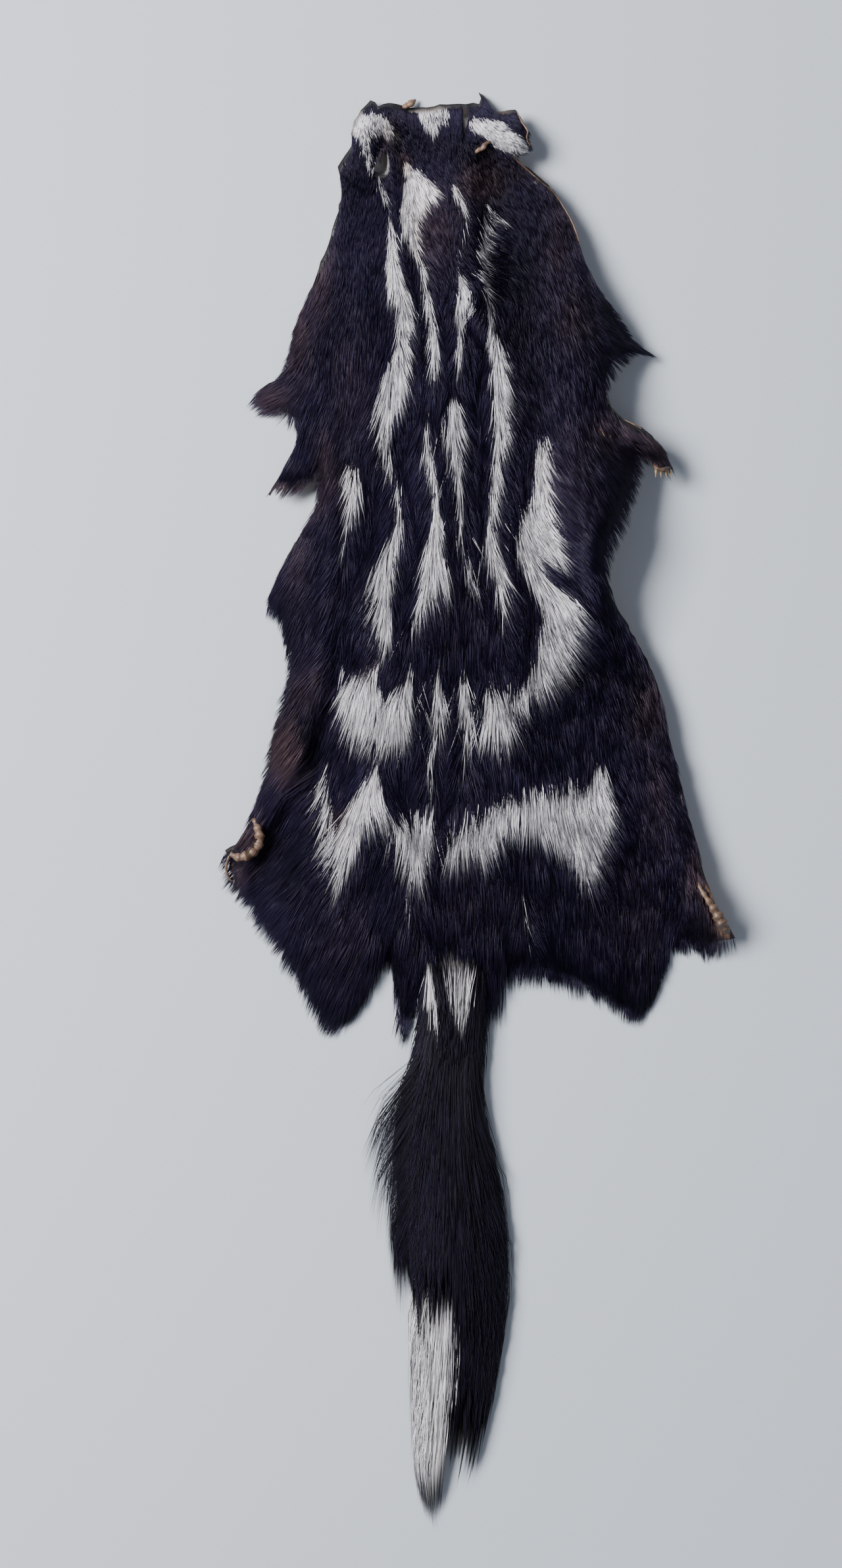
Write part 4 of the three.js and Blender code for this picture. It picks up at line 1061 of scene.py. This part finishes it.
# %% Tail hairs
TAIL_HAIRS = 37000
TAIL_SHARES = np.array([0.0, 0.35, 0.72, 1.0])
BRUSH = {
    "y": np.array([-60, -90, -105, -115, -125, -150, -175, -200, -225, -250, -265, -280, -290.0]),
    "left": np.array([0, -1, -3, -6.8, -8, -9, -6.8, -4.2, -3, -2.6, -2, 0.4, 4.2]),
    "parting": np.array([13, 13, 12, 12, 12, 12, 12, 12, 12, 10.4, 8.6, 7.4, 6.2]),
    "right": np.array([27, 25, 24, 23, 23.5, 29.5, 32.5, 32.8, 28.4, 24.4, 22, 16, 14]),
}
FLYAWAY = {"y": np.array([-66, -86, -98, -110, -125, -140, -212.0]),
           "mm": np.array([0, 8, 17, 14, 10, 7, 0.8])}
STRANDS = 60
IN_STRANDS = 0.07
TAIL_LENGTH = {"y": np.array([-66, -80, -96, -126, -158, -188, -212.0]),
               "mm": np.array([22, 28, 44, 54, 60, 66, 72.0])}
TAIL_SKIN_END = 146
BLACK_END = -238
WHITE_END = -282
WHITE_START = -187
WHITE_ROOTS = -163
END_LOCKS = 9
STRIPS = 28
BRUSH_HEIGHT = 13.0


def brush_at(y, key):
    """A measure of the brush's shape at the given place along it."""
    return np.interp(-y, -BRUSH["y"], BRUSH[key])


def brush_x(y, across):
    """Where a hair runs at each place along the tail: across is -1 at its left, 0 in its parting, 1 at right."""
    left, parting, right = (brush_at(y, key) for key in ("left", "parting", "right"))
    return np.where(across < 0, parting + across * (parting - left), parting + across * (right - parting))


tail_y = -66 - TAIL_SKIN_END * chance.uniform(0, 1, TAIL_HAIRS) ** 0.88
side = chance.uniform(-1, 1, TAIL_HAIRS)
drift = side + chance.normal(0, 0.05, TAIL_HAIRS)
strand = chance.integers(0, STRANDS, TAIL_HAIRS)
strand_y = -94 - 52 * chance.uniform(0, 1, STRANDS)
strand_loose = chance.uniform(0.1, 1.05, STRANDS)
in_strand = (side < -0.3) & (chance.uniform(0, 1, TAIL_HAIRS) < IN_STRANDS)
tail_y = np.where(in_strand, strand_y[strand] + chance.normal(0, 0.8, TAIL_HAIRS), tail_y)
drift = np.where(in_strand, -0.9 + chance.normal(0, 0.02, TAIL_HAIRS), drift)
round_angle = side * 1.9
tail_root = np.column_stack([tail_at(tail_y, "x") + tail_at(tail_y, "half width") * np.sin(round_angle), tail_y,
                             tail_at(tail_y, "z") + tail_at(tail_y, "half height") * np.cos(round_angle)])
tail_length = np.interp(-tail_y, -TAIL_LENGTH["y"], TAIL_LENGTH["mm"])
tail_length *= np.clip(chance.normal(1, 0.12, TAIL_HAIRS), 0.55, 1.2)
wisp = (drift > 0.1) & (drift < 0.8) & (tail_y < -190) & (chance.uniform(0, 1, TAIL_HAIRS) < 0.14)
end_lock = np.floor(np.clip(drift, 0, 0.999) * END_LOCKS).astype(int)
strip = np.floor((drift + 1.3) * STRIPS).astype(int)
strip_draw = chance.uniform(0, 1, 4 * STRIPS)[strip]
black_limit = tail_y - BLACK_END + 30 * strip_draw**3 + chance.normal(0, 4, TAIL_HAIRS)
covering = 46 * strip_draw - 23 + chance.normal(0, 5, TAIL_HAIRS)
white_root = tail_y < WHITE_ROOTS + chance.normal(0, 5, TAIL_HAIRS)
white_limit = tail_y - WHITE_END + 14 * np.abs(drift + 0.55) * -1 + chance.normal(0, 4, TAIL_HAIRS)
white_limit = np.where(white_root, white_limit, tail_y - WHITE_START + covering)
wisp_limit = tail_y - BLACK_END + chance.uniform(6, 27, TAIL_HAIRS)
limit = np.where(wisp, wisp_limit, np.where(drift > 0, black_limit, white_limit))
tail_length = np.minimum(tail_length, limit)
loose = np.where(in_strand, strand_loose[strand], np.clip(-side - 0.2, 0, 1) * chance.uniform(0, 0.1, TAIL_HAIRS))
flyaway = np.interp(-tail_y, -FLYAWAY["y"], FLYAWAY["mm"]) * loose
right_stray = np.where((side > 0.6) & (chance.uniform(0, 1, TAIL_HAIRS) < 0.08), 1.6, 0)

tail_paths = []
bed = chance.uniform(0, 1, TAIL_HAIRS)
bed = np.where(drift < 0, np.where(white_root, 0.7 * bed, 0.4 + 0.6 * bed), bed)
bed = np.where(in_strand, 0.2 + 0.3 * bed, np.where(wisp, 0.1 * bed, bed))
over = np.where((drift < 0) & white_root, 0.8, 2.6)
for share in TAIL_SHARES:
    y = tail_y - tail_length * share
    x = tail_root[:, 0] + (brush_x(y, drift) - tail_root[:, 0]) * smooth_step(share * 1.25)
    x += right_stray * share**1.2 - flyaway * share
    lock_x = brush_x(y, (end_lock + 0.5) / END_LOCKS)
    x += np.where(drift > 0, (lock_x - x) * 0.6 * smooth_step((-y - 226) / 30), 0)
    half = (brush_at(y, "right") - brush_at(y, "left")) / 2
    off_axis = (x - brush_at(y, "left") - half) / (half + 1)
    end_taper = np.clip((y + 294) / 70, 0.12, 1)
    top = 0.8 + BRUSH_HEIGHT * np.clip(1 - off_axis**2, 0, 1) * end_taper
    z = tail_root[:, 2] * (1 - share) + (0.4 + bed * top) * share + over * math.sin(math.pi * share)
    tail_paths.append(np.column_stack([x, y, np.maximum(z, 0.4)]))
tail_paths = np.stack(tail_paths, axis=1)
print("tail reaches y =", round(tail_paths[:, -1, 1].min(), 1))

# %% Tail colours and pieces
tail_seen = tail_paths[:, 2, :2]
root_mark = tail_root[:, 1] > -94
tail_white = (drift < chance.normal(0, 0.1, TAIL_HAIRS)) & white_root & ~in_strand
tail_white &= chance.uniform(0, 1, TAIL_HAIRS) > 0.06
tail_white |= wisp & (chance.uniform(0, 1, TAIL_HAIRS) < 0.6)
tail_white |= root_mark & (whiteness(tail_seen) > chance.normal(0.2, 0.8, TAIL_HAIRS))
tail_shade = np.where(tail_white, chance.uniform(-1, 0.7, TAIL_HAIRS), chance.uniform(-0.6, 0.1, TAIL_HAIRS))
tail_marks = {"shade": np.where(wisp, -0.6, tail_shade),
              "warmth": np.where(wisp, 0.9, chance.uniform(0, 0.15, TAIL_HAIRS))}
tail_widths = np.where(in_strand, 0.17, 0.28) * chance.uniform(0.7, 1.25, TAIL_HAIRS)
tail_patches = np.column_stack([0.55 + 0.35 * (side + 1) / 2, (tail_y + 220) / UNWRAP_SIZE * 1.5 + 0.02])
coat_triangles += grow("tail", tail_white, tail_paths, tail_widths, tail_marks, TAIL_SHARES, [1.0, 0.8],
                       tail_patches)
print("triangles in the coat and tail:", coat_triangles)

# %% [markdown]
# ## Dried skin
# Rawhide is tan, hard and slightly glossy, creased, and darker where it is thick. The fur side takes the
# colour of the roots that cover it, with the same markings as the coat, and the flesh side is bare.

# %% Marks on the skin
corners = np.empty(len(whole.vertices) * 3, np.float32)
whole.vertices.foreach_get("co", corners)
corners = corners.reshape(-1, 3) / MM
skin_plan = corners[:, :2] - PICTURE_CENTRE
depth = whiteness(skin_plan + np.column_stack([np.sin(lie(skin_plan)), -np.cos(lie(skin_plan))])
                  * (hair_length(skin_plan) * 0.3)[:, None])
pale = np.clip(0.5 + depth / 2, 0, 1)
tail_pale = (skin_plan[:, 1] < -150) & (skin_plan[:, 0] < 13)
pale = np.where(skin_plan[:, 1] < -92, tail_pale, pale)
# Around the eye slit the skin takes the black under-coat colour, and the slit's walls take it too instead of the
# tan flesh side: painted shade inside the slit.
near_slit = np.hypot(skin_plan[:, 0] + 15, skin_plan[:, 1] - 240) < 8
pale = np.where(near_slit, 0, pale)
whole.attributes.new("pale", "FLOAT", "POINT").data.foreach_set("value", pale.astype(np.float32))
bare = bareness(skin_plan)
whole.attributes.new("bare", "FLOAT", "POINT").data.foreach_set("value", bare.astype(np.float32))


# %% Skin materials
def rawhide(name, thick, thin):
    """Bare dried skin: mottled from its thick to its thin places, with fine wrinkles."""
    material, tree, output = new_material(name)
    place = node(tree, "ShaderNodeTexCoord")
    mottle = node(tree, "ShaderNodeTexNoise", {"Vector": place.outputs["Object"]}, Scale=70.0, Detail=5.0)
    colour = node(tree, "ShaderNodeValToRGB", {"Fac": mottle.outputs["Fac"]})
    colour.color_ramp.elements[0].color = hex_colour(thick)
    colour.color_ramp.elements[0].position = 0.32
    colour.color_ramp.elements[1].color = hex_colour(thin)
    colour.color_ramp.elements[1].position = 0.7
    wrinkle = node(tree, "ShaderNodeTexNoise", {"Vector": place.outputs["Object"]}, Scale=450.0, Detail=6.0)
    bump = node(tree, "ShaderNodeBump", {"Height": wrinkle.outputs["Fac"]}, Strength=0.5, Distance=0.0006)
    shader = node(tree, "ShaderNodeBsdfPrincipled", {"Base Color": colour.outputs[0],
                                                     "Normal": bump.outputs[0]}, Roughness=0.48)
    return material, tree, output, shader, colour, bump


flesh_side, tree, output, shader, colour, bump = rawhide("rawhide, flesh side", "#6b4a2c", "#b98d58")
tree.links.new(shader.outputs[0], output.inputs[0])
dry_edge, tree, output, shader, colour, bump = rawhide("rawhide, rolled edge", "#30251f", "#765b48")
tree.links.new(shader.outputs[0], output.inputs[0])
fur_side, tree, output, shader, colour, bump = rawhide("rawhide under the coat", "#553d31", "#94705a")
pale_mark = node(tree, "ShaderNodeAttribute", attribute_name="pale")
bare_mark = node(tree, "ShaderNodeAttribute", attribute_name="bare")
under_coat = node(tree, "ShaderNodeMix", {"Factor": pale_mark.outputs["Fac"]}, data_type="RGBA")
under_coat.inputs["A"].default_value = hex_colour("#0c0a0e")
under_coat.inputs["B"].default_value = hex_colour("#a89d98")
shown = node(tree, "ShaderNodeMix", {"Factor": bare_mark.outputs["Fac"], "A": under_coat.outputs["Result"],
                                     "B": colour.outputs[0]}, data_type="RGBA")
tree.links.new(shown.outputs["Result"], shader.inputs["Base Color"])
tree.links.new(shader.outputs[0], output.inputs[0])
whole.materials.clear()
whole.materials.append(fur_side)
whole.materials.append(flesh_side)
facing = np.array([polygon.normal.z for polygon in whole.polygons])
at_slit = np.array([near_slit[polygon.vertices[0]] for polygon in whole.polygons])
# Faces that do not face up show the flesh side, except the eye slit's walls, which keep the dark fur-side colour as
# painted shade.
bare_face = np.where(at_slit, facing < -0.5, facing < 0.15)
whole.polygons.foreach_set("material_index", bare_face.astype(np.int32))
whole.polygons.foreach_set("use_smooth", np.ones(len(whole.polygons), bool))

# %% [markdown]
# ## Rolled rims
# Rawhide shrinks as it dries, so a thin bare edge rolls up on itself. Such a rim is a small sheet rolled about a
# line. A flat grid from bmesh is bent round the line, ring by ring, and solidify gives it the thickness of skin.
# Each line gives places along the rim with the roll's radius there.

# %% Rims
RIM_THICKNESS = 0.45
RIMS = {
    "left_hind_foot_rim": (210, 0.6, [(-64.6, -13, 0.6), (-62.9, -17, 1.5), (-62.2, -20.8, 1.9), (-63.4, -24.6, 2),
                                      (-66.6, -27.3, 1.9), (-70.2, -28.2, 1.6), (-73.6, -26.8, 0.8)]),
    "left_hind_foot_string": (230, 1.5, [(-73.8, -27.6, 0.4), (-75, -31.4, 0.5), (-74.6, -34.6, 0.5),
                                         (-73, -37.4, 0.3)]),
    "brow_curl": (200, 0.5, [(-7.2, 260.4, 0.5), (-5.2, 261.2, 1.3), (-3.4, 262.2, 1.2), (-2, 263.4, 0.5)]),
    "right_neck_rim": (150, 0.2, [(34.8, 241.8, 0.2), (41.4, 235.9, 0.26), (47.6, 230.5, 0.22), (50.9, 228, 0.35),
                                  (54.9, 222.1, 0.26), (58.5, 215.6, 0.35), (60.9, 208.5, 0.2)]),
    "right_eyelid_rim": (200, 0.6, [(21, 242.8, 0.4), (22.2, 244, 0.9), (23.8, 244.6, 1), (25, 246.4, 0.9),
                                    (26.8, 247, 0.3)]),
    "right_toe_rim": (180, 0.4, [(90, 121.8, 0.5), (92.8, 121, 0.8), (95.6, 122, 0.5)]),
    "right_foreleg_rim": (170, 0.4, [(78.4, 140.1, 0.2), (81.4, 138.7, 0.4), (84.8, 136.8, 0.2)]),
    "right_elbow_rim": (200, 0.8, [(68.2, 137.6, 0.3), (69.6, 135.4, 0.6), (71, 133.6, 0.5), (72.8, 133.4, 0.5),
                                   (73, 134.9, 0.5), (71.6, 136, 0.3)]),
    "right_flank_rim": (160, 0.3, [(100, -4, 0.2), (101, -10, 0.35)]),
    "right_hind_foot_rim": (180, 0.4, [(105.6, -35.6, 0.4), (107.8, -40.6, 0.8), (110.8, -45.2, 1.1),
                                       (113.8, -49.8, 2), (115.8, -53.6, 2.3), (118.2, -57.6, 1)]),
    "right_cheek_rim": (160, 0.3, [(36.8, 259, 0.2), (38.9, 254.6, 0.3), (41, 251.4, 0.35), (40.7, 248.6, 0.25),
                                   (42, 245.4, 0.25)]),
}


def rolled_rim(name, turn, lift, line):
    """A bare edge rolled over by `turn` degrees along a line of places, each with the roll's radius."""
    stations = smooth_line(line, 0.7)
    run = np.gradient(stations[:, :2], axis=0)
    run /= np.linalg.norm(run, axis=1)[:, None]
    strip = bmesh.new()
    bmesh.ops.create_grid(strip, x_segments=len(stations) - 1, y_segments=9, size=0.5)
    for vert in strip.verts:
        along = round((vert.co.x + 0.5) * (len(stations) - 1))
        round_share = vert.co.y + 0.5
        angle = math.pi + math.radians(turn) * (round_share - 0.5)
        x, y, radius = stations[along]
        radius *= 1 + 0.16 * math.sin(1.3 * along) + 0.1 * math.sin(3.1 * along + 5 * round_share)
        aside = radius * math.sin(angle)
        place = np.array([[x + run[along, 1] * aside, y - run[along, 0] * aside]])
        height = skin_top(np.array([[x, y]])) + radius * (1 - math.cos(angle)) + lift
        vert.co = to_frame(place, height)[0]
    bmesh.ops.recalc_face_normals(strip, faces=strip.faces)
    bmesh.ops.solidify(strip, geom=strip.faces[:], thickness=RIM_THICKNESS * MM)
    mesh = bpy.data.meshes.new(name)
    strip.to_mesh(mesh)
    strip.free()
    mesh.polygons.foreach_set("use_smooth", np.ones(len(mesh.polygons), bool))
    mesh.materials.append(dry_edge)
    rim = bpy.data.objects.new(name, mesh)
    bpy.context.collection.objects.link(rim)
    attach(rim, "root")
    return len(mesh.polygons)


print("faces of the rims:", sum(rolled_rim(name, *rim) for name, rim in RIMS.items()))

# %% The skin rides the root body, and the flesh nodes are hidden
claw_nodes = [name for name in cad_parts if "claw" in name]
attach(skin, "root")
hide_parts(*[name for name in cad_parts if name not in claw_nodes])

# %% Claws
claw_horn, tree, output = new_material("claw horn")
place = node(tree, "ShaderNodeTexCoord")
streak = node(tree, "ShaderNodeTexNoise", {"Vector": place.outputs["Object"]}, Scale=900.0, Detail=3.0)
colour = node(tree, "ShaderNodeValToRGB", {"Fac": streak.outputs["Fac"]})
colour.color_ramp.elements[0].color = hex_colour("#4d3a24")
colour.color_ramp.elements[1].color = hex_colour("#b39b73")
shader = node(tree, "ShaderNodeBsdfPrincipled", {"Base Color": colour.outputs[0]}, Roughness=0.3)
tree.links.new(shader.outputs[0], output.inputs[0])
for name in claw_nodes:
    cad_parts[name].data.materials.clear()
    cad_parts[name].data.materials.append(claw_horn)
